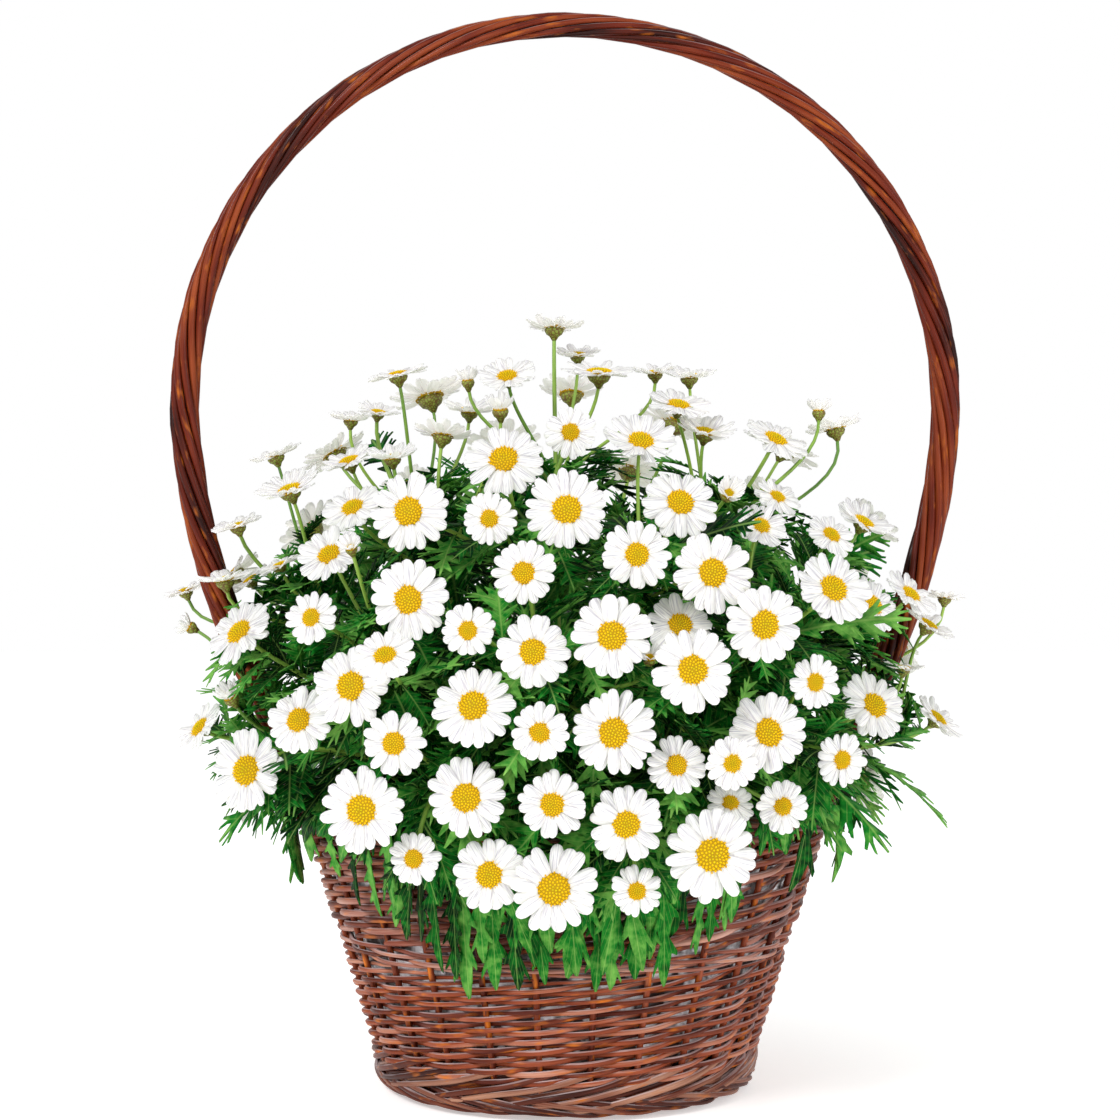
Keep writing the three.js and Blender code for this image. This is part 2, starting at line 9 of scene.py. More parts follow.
# %% Load the frame
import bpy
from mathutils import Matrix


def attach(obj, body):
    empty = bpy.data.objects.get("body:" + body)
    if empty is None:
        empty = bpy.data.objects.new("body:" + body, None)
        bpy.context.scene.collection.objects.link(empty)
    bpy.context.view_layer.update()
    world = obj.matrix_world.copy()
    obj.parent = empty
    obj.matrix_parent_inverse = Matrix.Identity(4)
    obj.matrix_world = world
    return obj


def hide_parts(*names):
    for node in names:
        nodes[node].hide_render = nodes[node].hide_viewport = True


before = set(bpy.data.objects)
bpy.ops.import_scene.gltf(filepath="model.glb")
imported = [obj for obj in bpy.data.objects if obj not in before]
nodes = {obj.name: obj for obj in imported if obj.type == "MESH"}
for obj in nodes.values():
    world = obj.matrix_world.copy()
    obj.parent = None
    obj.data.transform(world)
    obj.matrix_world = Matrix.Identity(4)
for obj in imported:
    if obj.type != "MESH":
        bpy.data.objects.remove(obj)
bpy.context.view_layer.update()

# %% Python's own helpers
import math
import random
import bmesh
import bpy
import numpy as np
from mathutils import Vector

MM = 0.001                  # everything is worked out in millimetres and scaled at the end
TURN = 2 * math.pi
sprays_in_cad = sorted(name for name in nodes if name.startswith("spray"))
print(len(nodes), "CAD nodes, of them", len(sprays_in_cad), "leafy stems")

# %% [markdown]
# The camera, the floor and the light.
#
# The photograph is taken level with the lower flowers from about 1.3 m, against pure white and in
# light from all round. A camera on the -Y side with a 75 mm lens gives the same view. A pale
# floor, a white world and two big soft lamps from the upper front give the even light and some
# small glints on the rods; a highlight painted along the rods' upper sides adds to them. One hard
# lamp would have drawn shadows that the photograph lacks.

# %% Camera
EYE = {"x": -3, "y": -1300, "z": 288}      # where the flowers are sighted from, as in the CAD
view = bpy.data.cameras.new("camera")
view.lens = 75.2
view.sensor_width = 36
view.clip_end = 50
camera = bpy.data.objects.new("camera", view)
camera.location = (-0.0028, -1.3, 0.288)
camera.rotation_euler = (math.radians(90), 0, 0)
bpy.context.scene.collection.objects.link(camera)
bpy.context.scene.camera = camera
print("camera", tuple(camera.location), "lens", view.lens)


# %% A node helper and a colour helper
def linear(hex_colour):
    """An sRGB hex colour as the linear RGBA that shader sockets take."""
    parts = [int(hex_colour[k:k + 2], 16) / 255 for k in (1, 3, 5)]
    return [c / 12.92 if c <= 0.04045 else ((c + 0.055) / 1.055) ** 2.4 for c in parts] + [1]


def add_node(tree, kind, inputs=None, stops=(), **settings):
    """Adds a node, sets its settings, and fills its inputs with values or links. A node that is
    given as an input means its first output. Stops are a colour ramp's, as (position, hex colour)."""
    made = tree.nodes.new(kind)
    for key, value in settings.items():
        setattr(made, key, value)
    for key, value in (inputs or {}).items():
        if isinstance(value, bpy.types.Node):
            value = value.outputs[0]
        if isinstance(value, bpy.types.NodeSocket):
            tree.links.new(value, made.inputs[key])
        else:
            made.inputs[key].default_value = value
    # A new ramp has two stops already, which become the outer ones.
    for k, (position, colour) in enumerate((*stops[:1], *stops[-1:], *stops[1:-1])):
        row = made.color_ramp.elements
        stop = row[k] if k < 2 else row.new(position)
        stop.position = position
        stop.color = linear(colour)
    return made


def new_material(name):
    """A material with an empty node tree, and the shader that its finish goes into."""
    material = bpy.data.materials.new(name)
    material.use_nodes = True
    tree = material.node_tree
    tree.nodes.clear()
    shader = add_node(tree, "ShaderNodeBsdfPrincipled")
    add_node(tree, "ShaderNodeOutputMaterial", {"Surface": shader.outputs["BSDF"]})
    return material, tree, shader


print("#808080 in linear light is", round(linear("#808080")[0], 3))

# %% Floor and light
FLOOR_Z = -0.0006            # just under the foot, so that the two never share a plane
LAMPS_AIM = Vector((0, 0, 0.25))


def make_floor():
    material, _, shader = new_material("floor_paper")
    shader.inputs["Base Color"].default_value = linear("#ffffff")
    shader.inputs["Roughness"].default_value = 1.0
    shader.inputs["Emission Color"].default_value = linear("#ffffff")
    shader.inputs["Emission Strength"].default_value = 0.45
    bm = bmesh.new()
    bmesh.ops.create_grid(bm, x_segments=1, y_segments=1, size=6)
    bmesh.ops.translate(bm, verts=bm.verts, vec=(0, 0, FLOOR_Z))
    mesh = bpy.data.meshes.new("floor")
    bm.to_mesh(mesh)
    bm.free()
    mesh.materials.append(material)
    floor = bpy.data.objects.new("floor", mesh)
    bpy.context.scene.collection.objects.link(floor)


def make_lamp(name, place, size, power):
    lamp = bpy.data.lights.new(name, "AREA")
    lamp.shape = "DISK"
    lamp.size = size
    lamp.energy = power
    holder = bpy.data.objects.new(name, lamp)
    holder.location = place
    holder.rotation_euler = (LAMPS_AIM - Vector(place)).to_track_quat("-Z", "Y").to_euler()
    bpy.context.scene.collection.objects.link(holder)


def make_world(seen, cast):
    """A white studio: the camera sees one brightness, and the light it casts has another."""
    world = bpy.data.worlds.new("studio")
    world.use_nodes = True
    tree = world.node_tree
    background = tree.nodes["Background"]
    background.inputs["Color"].default_value = linear("#ffffff")
    path = add_node(tree, "ShaderNodeLightPath")
    strength = add_node(tree, "ShaderNodeMapRange",
                        {"Value": path.outputs["Is Camera Ray"], "To Min": cast, "To Max": seen})
    tree.links.new(strength.outputs[0], background.inputs["Strength"])
    bpy.context.scene.world = world


make_floor()
make_lamp("key_lamp", place=(-1.1, -1.9, 1.7), size=0.7, power=36)
make_lamp("fill_lamp", place=(1.6, -1.5, 0.9), size=1.0, power=12)
make_world(seen=1.0, cast=0.62)
bpy.context.scene.view_settings.view_transform = "Standard"
print("floor, world and two lamps")

# %% [markdown]
# The measurements, and where the plants stand.
#
# The frame's basket flares by 0.31 mm in every millimetre of height. The flowers of the front were
# sighted in the photograph one by one, as across, up and width on the upright plane through the
# axis, then pushed out to the cushion they grow from. The CAD source works out the same places by
# the same rule and the same seeded numbers, so each head, stem and leaf here lies on its solid.

# %% Driving dimensions, the same as in the CAD
STAKES = 26
STAKE_TURN = TURN / STAKES   # the angle from one stake to the next
FOOT_RADIUS = 100
FLARE = 0.31
RIM_TOP = 157
SOIL_Z = 128
HANDLE_RING = 211.3          # the radius of the hoop
HANDLE_HEART = 374           # the height of its middle
HOOP_THICK = 8.7             # the radius of the twisted rope
ROPE_LAY = 215               # the length of one full turn of the rope
DOME = {"z": 225, "radius": 205, "up": 172, "down": 230}    # the cushion of flowers
LEAFY_STEMS = 36
STEM = 1.7
STALK = 1.45
ROOT_RADIUS = 99
BUD_WIDTH = 22               # a sighted flower that is narrower is a bud
BACK_SPOTS = 72
LENGTHS = 4                  # straight lengths that the CAD draws a stem with
STALK_LENGTHS = 2
LEAVES = 72
LEAF_ROOM = 0.6
UP = np.array((0.0, 0.0, 1.0))


def wall_radius(z):
    return FOOT_RADIUS + FLARE * z


def unit(v):
    return v / math.sqrt(v @ v)


def vec(*parts):
    return np.array(parts, float)


print("rim radius", round(wall_radius(RIM_TOP), 1), "mm")

# %% Flowers sighted in the photograph
# Each is (across, up, width in millimetres, lean, forward). A lean of 0 faces outwards and 1 faces
# up. Forward is 1 on the front of the cushion, 0 in the middle and below 0 behind the middle.
SIGHTED = [
    (-6, 417, 34, 1.06, 0), (7, 402, 27, 1.15, -0.5), (19, 392, 42, 0.85, 0.35),
    (-32, 390, 34, 0.6, 0.5), (-93, 391, 34, 0.85, 0.2), (50, 392, 27, 1.1, -0.3),
    (69, 390, 32, 1.1, -0.1), (63, 374, 37, 0.7, 0.5), (-68, 357, 34, 1.15, 0.35),
    (-53, 371, 32, 1.15, -0.5), (-104, 370, 25, 1.2, -0.5), (-119, 366, 26, 1.1, -0.3),
    (-96, 345, 31, 0.85, 0.5), (-120, 343, 34, 0.7, 0.4), (-161, 346, 31, 0.8, 0.1),
    (-153, 327, 40, 0.7, 0.5), (-118, 317, 37, 0.5, 0.7), (-182, 307, 29, 0.8, 0.4),
    (-131, 291, 39, 0.45, 0.8), (-87, 315, 46, 0.1, 1), (-42, 311, 31, 0, 1), (-34, 344, 46, 0.35, 1),
    (3, 359, 30, 0.05, 0.95), (1, 316, 47, 0.1, 1), (42, 354, 43, 0.55, 0.8), (64, 320, 43, 0.3, 1),
    (78, 359, 36, 0.75, 0.4), (117, 355, 39, 0.6, 0.4), (150, 361, 34, 1.15, 0),
    (109, 307, 31, 0.4, 0.8), (118, 323, 28, 0.5, 0.5), (148, 302, 30, 0.45, 0.7),
    (166, 309, 36, 0.6, 0.4), (149, 272, 46, 0.3, 1), (171, 263, 36, 0.3, 0.6),
    (192, 269, 34, 0.5, 0.5), (202, 252, 33, 0.6, 0.3), (211, 267, 24, 0.9, -0.2),
    (82, 281, 47, 0.05, 1), (40, 291, 39, 0, 1), (-23, 281, 37, 0, 1), (-87, 266, 46, 0, 1),
    (-141, 256, 31, 0.15, 1), (-181, 248, 43, 0.4, 0.6), (-189, 277, 34, 0.9, 0.3),
    (-211, 271, 26, 0.8, 0.1), (-175, 277, 27, 0.6, 0.1), (-159, 285, 26, 0.7, 0.2),
    (-203, 195, 34, 0.4, 0.4), (-177, 171, 48, 0.1, 0.9), (-148, 199, 40, 0.2, 1),
    (-119, 218, 46, 0.15, 1), (-100, 235, 37, 0.5, 1.1), (-54, 249, 31, 0, 1), (-18, 237, 42, 0, 1),
    (26, 246, 47, 0.05, 1), (71, 227, 48, 0, 1.05), (64, 252, 39, 0.3, 0.85), (111, 252, 46, 0, 1),
    (139, 220, 31, 0.05, 1), (172, 207, 42, 0.3, 0.8), (207, 200, 34, 0.5, 0.3),
    (188, 228, 25, 0.9, 0.2), (154, 177, 31, 0, 1), (113, 192, 46, 0.15, 1), (93, 175, 31, 0, 1.05),
    (62, 174, 34, 0.1, 1), (27, 192, 49, 0, 1), (-14, 192, 34, 0, 1), (-51, 207, 48, 0.25, 1),
    (-95, 186, 38, 0, 1), (-113, 149, 49, 0, 1.05), (-55, 156, 46, 0, 1), (-7, 152, 39, 0, 1),
    (34, 141, 44, 0, 1), (92, 153, 28, 0.4, 0.9), (121, 151, 31, 0, 1), (82, 124, 54, 0, 1.05),
    (-84, 122, 31, 0, 1), (-42, 113, 43, 0, 1), (-6, 105, 51, 0.05, 1.05), (40, 104, 30, 0, 1),
    (-54, 388, 17, 0.9, 0.3), (-36, 372, 21, 0.8, 0.6), (91, 325, 21, 0.3, 0.8), (141, 371, 17, 1, 0.1),
    (-209, 251, 16, 0.3, 0.2), (-186, 212, 20, 0.6, 0.45), (-119, 295, 16, 0.6, 0.9),
    (47, 234, 18, 0.6, 0.9),
]
print(len(SIGHTED), "flowers sighted")


# %% Smooth curves
class Bezier:
    """A curve through the air with two, one or no handles: stems, stalks and leaf ribs."""

    def __init__(self, *points):
        self.points = [np.array(p, float) for p in points]

    def point(self, t):
        row = self.points
        while len(row) > 1:
            row = [a * (1 - t) + b * t for a, b in zip(row, row[1:])]
        return row[0]

    def tangent(self, t):
        low = max(t - 0.0001, 0)
        high = min(t + 0.0001, 1)
        return unit(self.point(high) - self.point(low))


def on_lengths(curve, t, lengths):
    """A point of the straight lengths that the CAD draws a stem with."""
    k = min(math.floor(t * lengths), lengths - 1)
    start = curve.point(k / lengths)
    return start + (curve.point((k + 1) / lengths) - start) * (t * lengths - k)


def balls_along(curve, start, lengths, r, count):
    return np.array([[*on_lengths(curve, start + (1 - start) * k / count, lengths), r]
                     for k in range(count + 1)])


print("curves ready")


# %% The handle's path
# The right leg as (across, up), from the hoop's foot down inside the wall.
LEG = [(204, 312), (184, 246), (163, 202), (149, 166), (136.5, 148), (122, 122), (111, 85), (103, 50)]
HOOP_KNOTS = 96              # knots in a whole ring, of which those above the legs are used
HOOP_FROM = 350
PATH_STEPS = 200


def handle_path():
    """A fine row of points from the left leg's end over the top to the right leg's end."""
    bow = []
    for k in range(HOOP_KNOTS):
        angle = TURN * k / HOOP_KNOTS - math.pi
        point = vec(HANDLE_RING * math.sin(angle), 0, HANDLE_HEART + HANDLE_RING * math.cos(angle))
        if point[2] > HOOP_FROM:
            bow.append(point)
    left = [vec(-x, 0, z) for x, z in reversed(LEG)]
    knots = left + bow + [vec(x, 0, z) for x, z in LEG]
    ends = [2 * knots[0] - knots[1], *knots, 2 * knots[-1] - knots[-2]]
    spans = len(knots) - 1

    def at(t):
        """A point of the smooth curve through the knots, spaced by the roots of their distances."""
        whole = min(int(spans * t), spans - 1)
        w = spans * t - whole
        p = ends[whole:whole + 4]
        d = [math.sqrt(math.dist(a, b)) for a, b in zip(p, p[1:])]
        start = ((p[1] - p[0]) / d[0] - (p[2] - p[0]) / (d[0] + d[1]) + (p[2] - p[1]) / d[1]) * d[1]
        end = ((p[2] - p[1]) / d[1] - (p[3] - p[1]) / (d[1] + d[2]) + (p[3] - p[2]) / d[2]) * d[1]
        twice = -3 * p[1] + 3 * p[2] - 2 * start - end
        thrice = 2 * p[1] - 2 * p[2] + start + end
        return p[1] + start * w + twice * w * w + thrice * w ** 3

    points = np.array([at(k / PATH_STEPS) for k in range(PATH_STEPS + 1)])
    lengths = np.concatenate([[0], np.cumsum(np.linalg.norm(np.diff(points, axis=0), axis=1))])

    def place(share):
        """The point at this share of the handle's whole length."""
        target = share * lengths[-1]
        k = min(max(int(np.searchsorted(lengths, target, side="right")) - 1, 0), PATH_STEPS - 1)
        return at((k + (target - lengths[k]) / (lengths[k + 1] - lengths[k])) / PATH_STEPS)

    return place, lengths[-1]


def handle_radius(z):
    """The rope's thickness: full on the hoop, less at its top, and thinning down the legs."""
    if z > 300:
        return HOOP_THICK - 1.4 * max(0, (z - HANDLE_HEART) / 211) ** 1.5
    return min(max(3.6 + (z - 40) * 0.036, 4), HOOP_THICK)


handle_at, HANDLE_LENGTH = handle_path()
print("handle length", round(HANDLE_LENGTH), "mm")


# %% Balls that keep stems, heads and leaves apart
NEARBY = 40                  # balls beyond this from a shape's box aren't compared with it
FAR = 20.0                   # what counts as the gap where nothing is nearby
RIM_MIDDLE = 142             # the rim border's middle radius, and half its width
RIM_HALF = 9
BESIDE_RIM = 153             # just outside the rim border, from UNDER_RIM up
UNDER_RIM = 138
INSIDE_WALL = 115            # the radius that stems keep within, down in the basket
HANDLE_BALLS = 150
HANDLE_CLEAR = 2             # how far everything stays off the handle


class Room:
    """The room that is taken so far, as balls with the number of what they belong to."""

    def __init__(self):
        self.balls = np.zeros((0, 4))
        self.owners = np.zeros(0, int)

    def take(self, balls, owner=-1):
        self.balls = np.vstack([self.balls, balls])
        self.owners = np.concatenate([self.owners, np.full(len(balls), owner)])

    def left(self, balls, but=()):
        """The least gap between these balls and what is taken, apart from the owners in but."""
        low = balls[:, :3].min(0) - NEARBY
        high = balls[:, :3].max(0) + NEARBY
        near = ((self.balls[:, :3] > low) & (self.balls[:, :3] < high)).all(1)
        near &= ~np.isin(self.owners, but)
        if not near.any():
            return FAR
        other = self.balls[near]
        gaps = np.linalg.norm(balls[:, None, :3] - other[None, :, :3], axis=2)
        return float((gaps - balls[:, None, 3] - other[None, :, 3]).min())


def basket_room(balls):
    """The least gap between these balls and the basket's wall, rim and compost."""
    x, y, z, r = balls.T
    radius = np.hypot(x, y)
    over = np.hypot(np.maximum(0, np.abs(radius - RIM_MIDDLE) - RIM_HALF), z - RIM_TOP - 1) - r
    outside = radius - r - np.maximum(wall_radius(z) + 1.5, np.where(z > UNDER_RIM, BESIDE_RIM, 0))
    inside = np.minimum(z - SOIL_Z - r, INSIDE_WALL - radius - r)
    low = np.where(radius > 140, outside, inside)
    return float(np.where(z > RIM_TOP + 1, over, low).min())


room = Room()
for k in range(HANDLE_BALLS + 1):
    centre = handle_at(k / HANDLE_BALLS)
    if centre[2] > 100:
        room.take(np.array([[*centre, handle_radius(centre[2]) + HANDLE_CLEAR]]))
print(len(room.balls), "balls keep the handle clear")

# %% Seeded numbers, and a frame that faces a flower's way
seed = 20417
MULTIPLIER = 16807           # the minimal standard generator, the same as in the CAD source
MODULUS = 2147483647


def drawn(low=0.0, high=1.0):
    global seed
    seed = seed * MULTIPLIER % MODULUS
    return low + (high - low) * (seed / MODULUS)


def frame_of(normal, roll):
    """Two directions square to the normal and to each other, turned about it by roll."""
    side = vec(1, 0, 0) if abs(normal[2]) > 0.95 else UP
    u = unit(np.cross(side, normal))
    v = np.cross(normal, u)
    return u * math.cos(roll) + v * math.sin(roll), v * math.cos(roll) - u * math.sin(roll)


class Flower:
    def __init__(self, at, facing, radius, bud):
        self.at = at
        self.facing = facing
        self.radius = radius
        self.bud = bud

    def balls(self):
        """The head as balls: one under the disc, a ring of six and a ring of twelve further out."""
        u, v = frame_of(self.facing, 0)
        rows = [[*(self.at - 1.5 * self.facing), 5.5]]
        for count, reach, r in ((6, 0.45, 4), (12, 0.85, 0.16 * self.radius + 0.4)):
            for k in range(count):
                a = TURN * k / count
                spot = self.at + u * (reach * self.radius * math.cos(a))
                rows.append([*(spot + v * (reach * self.radius * math.sin(a))), r])
        return np.array(rows)


print("first seed", seed)


# %% Stand the flowers
GOOD_GAP = 0.6               # a head that has this much room is taken at once
LEAST_GAP = 0.2              # one at the back that has less is left out
SHIFTS = (0, -6, 6, -12, 12, -18, 18, -24, 24, -32, 32)      # tried in turn, in millimetres
BACK_DOWN = 1.38             # how far down the back the spread goes, where 2 is a whole ball
BACK_FROM = 22


def sight(row, shift):
    """A sighted flower at its depth on the cushion, moved by the shift along the depth."""
    across, up, width, lean, forward = row
    at = np.zeros(3)

    def place(depth):
        near = (depth - EYE["y"]) / -EYE["y"]
        at[:] = (EYE["x"] + (across - EYE["x"]) * near, depth, EYE["z"] + (up - EYE["z"]) * near)

    y = -150
    for _ in range(12):
        place(y)
        tall = DOME["up"] if at[2] > DOME["z"] else DOME["down"]
        left = 1 - (at[0] / DOME["radius"]) ** 2 - ((at[2] - DOME["z"]) / tall) ** 2
        y = -DOME["radius"] * math.sqrt(max(left, 0))
    place(min(y, -40) * forward + shift)
    to_front = -0.6 if forward < 0 else max(forward, 0.15)
    out = unit(vec(0.6 * at[0] / DOME["radius"], -to_front, 0))
    rise = lean * math.pi / 2
    facing = unit(out * math.cos(rise) + UP * math.sin(rise))
    radius = width / 2 * ((at[1] - EYE["y"]) / -EYE["y"])
    return Flower(at, facing, radius, width < BUD_WIDTH)


def stand_flower(candidates, needed):
    """Stands the first candidate that has room, or the one that has the most."""
    best = None
    for flower in candidates:
        balls = flower.balls()
        gap = min(room.left(balls), basket_room(balls))
        if best is None or gap > best[0]:
            best = (gap, flower, balls)
        if gap > GOOD_GAP:
            break
    gap, flower, balls = best
    if gap <= LEAST_GAP and not needed:
        return
    flower.roll = drawn(0, TURN)
    flower.index = len(flowers)
    room.take(balls, flower.index)
    flowers.append(flower)


def back_flower(spot, width, lift, scale):
    """A flower on the cushion where a spot of the unit ball lies, facing outwards and a little up."""
    tall = DOME["up"] if spot[2] > 0 else DOME["down"] * 0.9
    at = vec(spot[0] * DOME["radius"], spot[1] * DOME["radius"], tall * spot[2]) * scale
    at[2] += DOME["z"]
    facing = unit(vec(spot[0], spot[1], max(spot[2], -0.15) + lift))
    return Flower(at, facing, width / 2, False)


print(len(SHIFTS), "depths are tried for a sighted flower")

# %% All the flowers
flowers = []
for row in SIGHTED:
    stand_flower([sight(row, shift) for shift in SHIFTS], needed=True)
for k in range(BACK_SPOTS):
    height = 1 - BACK_DOWN * (k + 0.5) / BACK_SPOTS
    angle = k * math.pi * (3 - math.sqrt(5)) + 0.6
    level = math.sqrt(1 - height * height)
    spot = vec(level * math.cos(angle), level * math.sin(angle), height)
    width = drawn(34, 48)
    lift = drawn(0.15, 0.5)
    if spot[1] * DOME["radius"] < BACK_FROM:
        continue
    candidates = [back_flower(spot, width, lift, scale) for scale in (1, 0.95, 1.05, 0.9)]
    stand_flower(candidates, needed=False)
print(len(flowers), "flowers stand")


# %% Leafy stems from the compost
STEM_OWNER = 1000            # numbers that tell stems and stalks from flowers in the taken room
STALK_OWNER = 2000
BENDS = (0, 8, -8, 16, -16, 26, -26, 38, -38)       # bends to one side, tried in turn
STEM_GAP = 0.5               # a curve that has this much room is taken at once
ROOTS_APART = 9
HEART = vec(0, 0, 150)       # the middle of the plant, from which the stems fan out


def angle_between(a, b):
    return math.acos(min(max((a @ b) / math.sqrt((a @ a) * (b @ b)), -1), 1))


def stem_curve(root, flower, bend):
    """Up out of the compost, then out to the back of the flower. Low ones go up and over first."""
    across = unit(vec(-flower.at[1], flower.at[0], 0))
    low = max(0, 205 - flower.at[2])
    rise = max(0.5 * (flower.at[2] - SOIL_Z), 62)
    end = flower.at - 5 * flower.facing
    turn = end - flower.facing * max(14, 40 - low) + UP * 0.85 * low + across * bend
    return Bezier(root, root + UP * rise + across * bend * 0.5, turn, end)


def choose_leaders(aims):
    """The flowers that end a leafy stem: each the one whose aim is farthest from those so far."""
    leaders = [0]
    nearest = [angle_between(aim, aims[0]) for aim in aims]
    while len(leaders) < LEAFY_STEMS:
        leaders.append(nearest.index(max(nearest)))
        nearest = [min(n, angle_between(aim, aims[leaders[-1]])) for n, aim in zip(nearest, aims)]
    return leaders


def find_root(flower, aim, roots):
    """Where a stem leaves the compost: farther out for a flower lower down, and off the others."""
    reach = ROOT_RADIUS * min(1, math.acos(min(max(aim[2], -1), 1)) / 1.85) ** 0.8
    k = 0
    while True:
        bearing = math.atan2(flower.at[1], flower.at[0]) + (0.06 if k % 2 else -0.06) * k
        root = vec(reach * math.cos(bearing), reach * math.sin(bearing), SOIL_Z + 4)
        if all(math.dist(root, other) >= ROOTS_APART for other in roots):
            return root
        k += 1


aims = [unit(flower.at - HEART) for flower in flowers]
leaders = choose_leaders(aims)
for flower in flowers:
    angles = [angle_between(aims[flower.index], aims[k]) for k in leaders]
    flower.spray = angles.index(min(angles))
roots = []
for leader in leaders:
    roots.append(find_root(flowers[leader], aims[leader], roots))
stems = []
for spray, leader in enumerate(leaders):
    best = None
    for bend in BENDS:
        curve = stem_curve(roots[spray], flowers[leader], bend)
        balls = balls_along(curve, 0, LENGTHS, STEM + 0.3, 60)
        gap = min(room.left(balls, [leader]), basket_room(balls[5:]))
        if best is None or gap > best[0]:
            best = (gap, curve, balls)
        if gap > STEM_GAP:
            break
    stems.append(best[1])
    room.take(best[2], STEM_OWNER + spray)
print(len(stems), "leafy stems")


# %% Flower stalks that branch off the leafy stems
def stalk_curve(stem, t, flower, bend):
    """Leaves the stem along its own way and comes to the flower from behind."""
    root = on_lengths(stem, t, LENGTHS)
    end = flower.at - 5 * flower.facing
    span = math.dist(root, end)
    across = unit(vec(-flower.at[1], flower.at[0], 0))
    first = root + (end - root) * 0.16 + stem.tangent(t) * span * 0.2 + across * bend * 0.5
    second = end - flower.facing * max(10, span * 0.3) + across * bend
    return Bezier(root, first, second, end)


def find_stalk(spray, flower):
    """The first stalk that has room, or the one that has the most, and its balls."""
    best = None
    for t in (0.55, 0.65, 0.45, 0.75, 0.35):
        for bend in BENDS[:7]:
            curve = stalk_curve(stems[spray], t, flower, bend)
            balls = balls_along(curve, 0.2, STALK_LENGTHS, STALK + 0.3, 24)
            gap = min(room.left(balls, [flower.index, STEM_OWNER + spray]), basket_room(balls))
            if best is None or gap > best[0]:
                best = (gap, curve, balls)
            if gap > STEM_GAP:
                return best[1:]
    return best[1:]


stalks = []
for spray, leader in enumerate(leaders):
    for flower in flowers:
        if flower.spray == spray and flower.index != leader:
            curve, balls = find_stalk(spray, flower)
            room.take(balls, STALK_OWNER + spray)
            stalks.append(curve)
print(len(stalks), "flower stalks")

# %% Big leaves on the stems
# The solids' leaf outline as (along, half width), and where balls stand along its rib.
LOBES = ((0.36, 0.27), (0.45, 0.085), (0.61, 0.31), (0.7, 0.09), (0.84, 0.19))
RIB_BALLS = (0.12, 0.2, 0.28, 0.36, 0.45, 0.53, 0.61, 0.7, 0.77, 0.84, 0.92, 1)


def leaf_balls(curve, face, length, plump):
    """A leaf as balls along its rib and along its wider lobes."""
    rows = [[*curve.point(t), 2.2] for t in RIB_BALLS]
    for t, half in LOBES:
        if half > 0.1:
            along = curve.tangent(t)
            side = unit(np.cross(along, face))
            for part in (-1, -0.7, -0.4, 0.4, 0.7, 1):
                spot = curve.point(t) + along * (0.4 * half * length * abs(part))
                rows.append([*(spot + side * (part * half * plump * length)), 2.6])
    return np.array(rows)


def turned(v, angle):
    """v turned about the upright."""
    c, s = math.cos(angle), math.sin(angle)
    return vec(v[0] * c - v[1] * s, v[0] * s + v[1] * c, v[2])


def grow_leaf(spray):
    """Tries one leaf at a drawn place of the stem. None means that it had no room."""
    low = flowers[leaders[spray]].at[2] < 215
    t = drawn(0.42, 0.8) if low else drawn(0.35, 0.86)
    start = on_lengths(stems[spray], t, LENGTHS)
    out = unit(vec(start[0], start[1], 0))
    turn = drawn(-1.25, 1.25)
    hang = drawn(0.2, 0.9) if low else 0
    rise = -hang if low else drawn(0, 0.45)
    way = unit(turned(out, turn) + stems[spray].tangent(t) * 0.6 + UP * rise)
    length = drawn(54, 72)
    plump = drawn(0.9, 1.2)
    tip = start + way * length + UP * (-9 - 28 * hang)
    if math.hypot(tip[0], tip[1]) > 213 or tip[2] < 84:
        return None
    curve = Bezier(start, start + way * length * 0.55, tip)
    face = unit(out + UP * (0.5 if low else 1))
    if abs(face @ way) > 0.93:
        return None
    balls = leaf_balls(curve, face, length, plump)
    gap = min(room.left(balls[:3], [STEM_OWNER + spray]), room.left(balls[3:]), basket_room(balls))
    if gap < LEAF_ROOM:
        return None
    room.take(balls)
    return curve, face, length, plump


leaves = []
per_spray = [0] * LEAFY_STEMS
for _ in range(14):
    for spray in range(LEAFY_STEMS):
        if len(leaves) >= LEAVES or per_spray[spray] >= 4:
            continue
        leaf = grow_leaf(spray)
        if leaf:
            leaves.append(leaf)
            per_spray[spray] += 1
print(len(leaves), "big leaves, last seed", seed)

# %% [markdown]
# Willow rods.
#
# The whole basket is made of one thing: a willow rod, round, a few millimetres thick, thinner to
# its tip, with bark or stain that is streaked along it. A rod could be swept by extruding a ring
# again and again, but a Blender curve with a round bevel does that by itself and gives each point
# its own thickness. Each rod is then turned into a mesh, and every point of it is given its place
# on the straightened rod, so that the streaks run along the bends, and a shade of its own.


# %% A rod from a row of points
APART = 977                  # how far apart in the streaks two rods of different shade begin


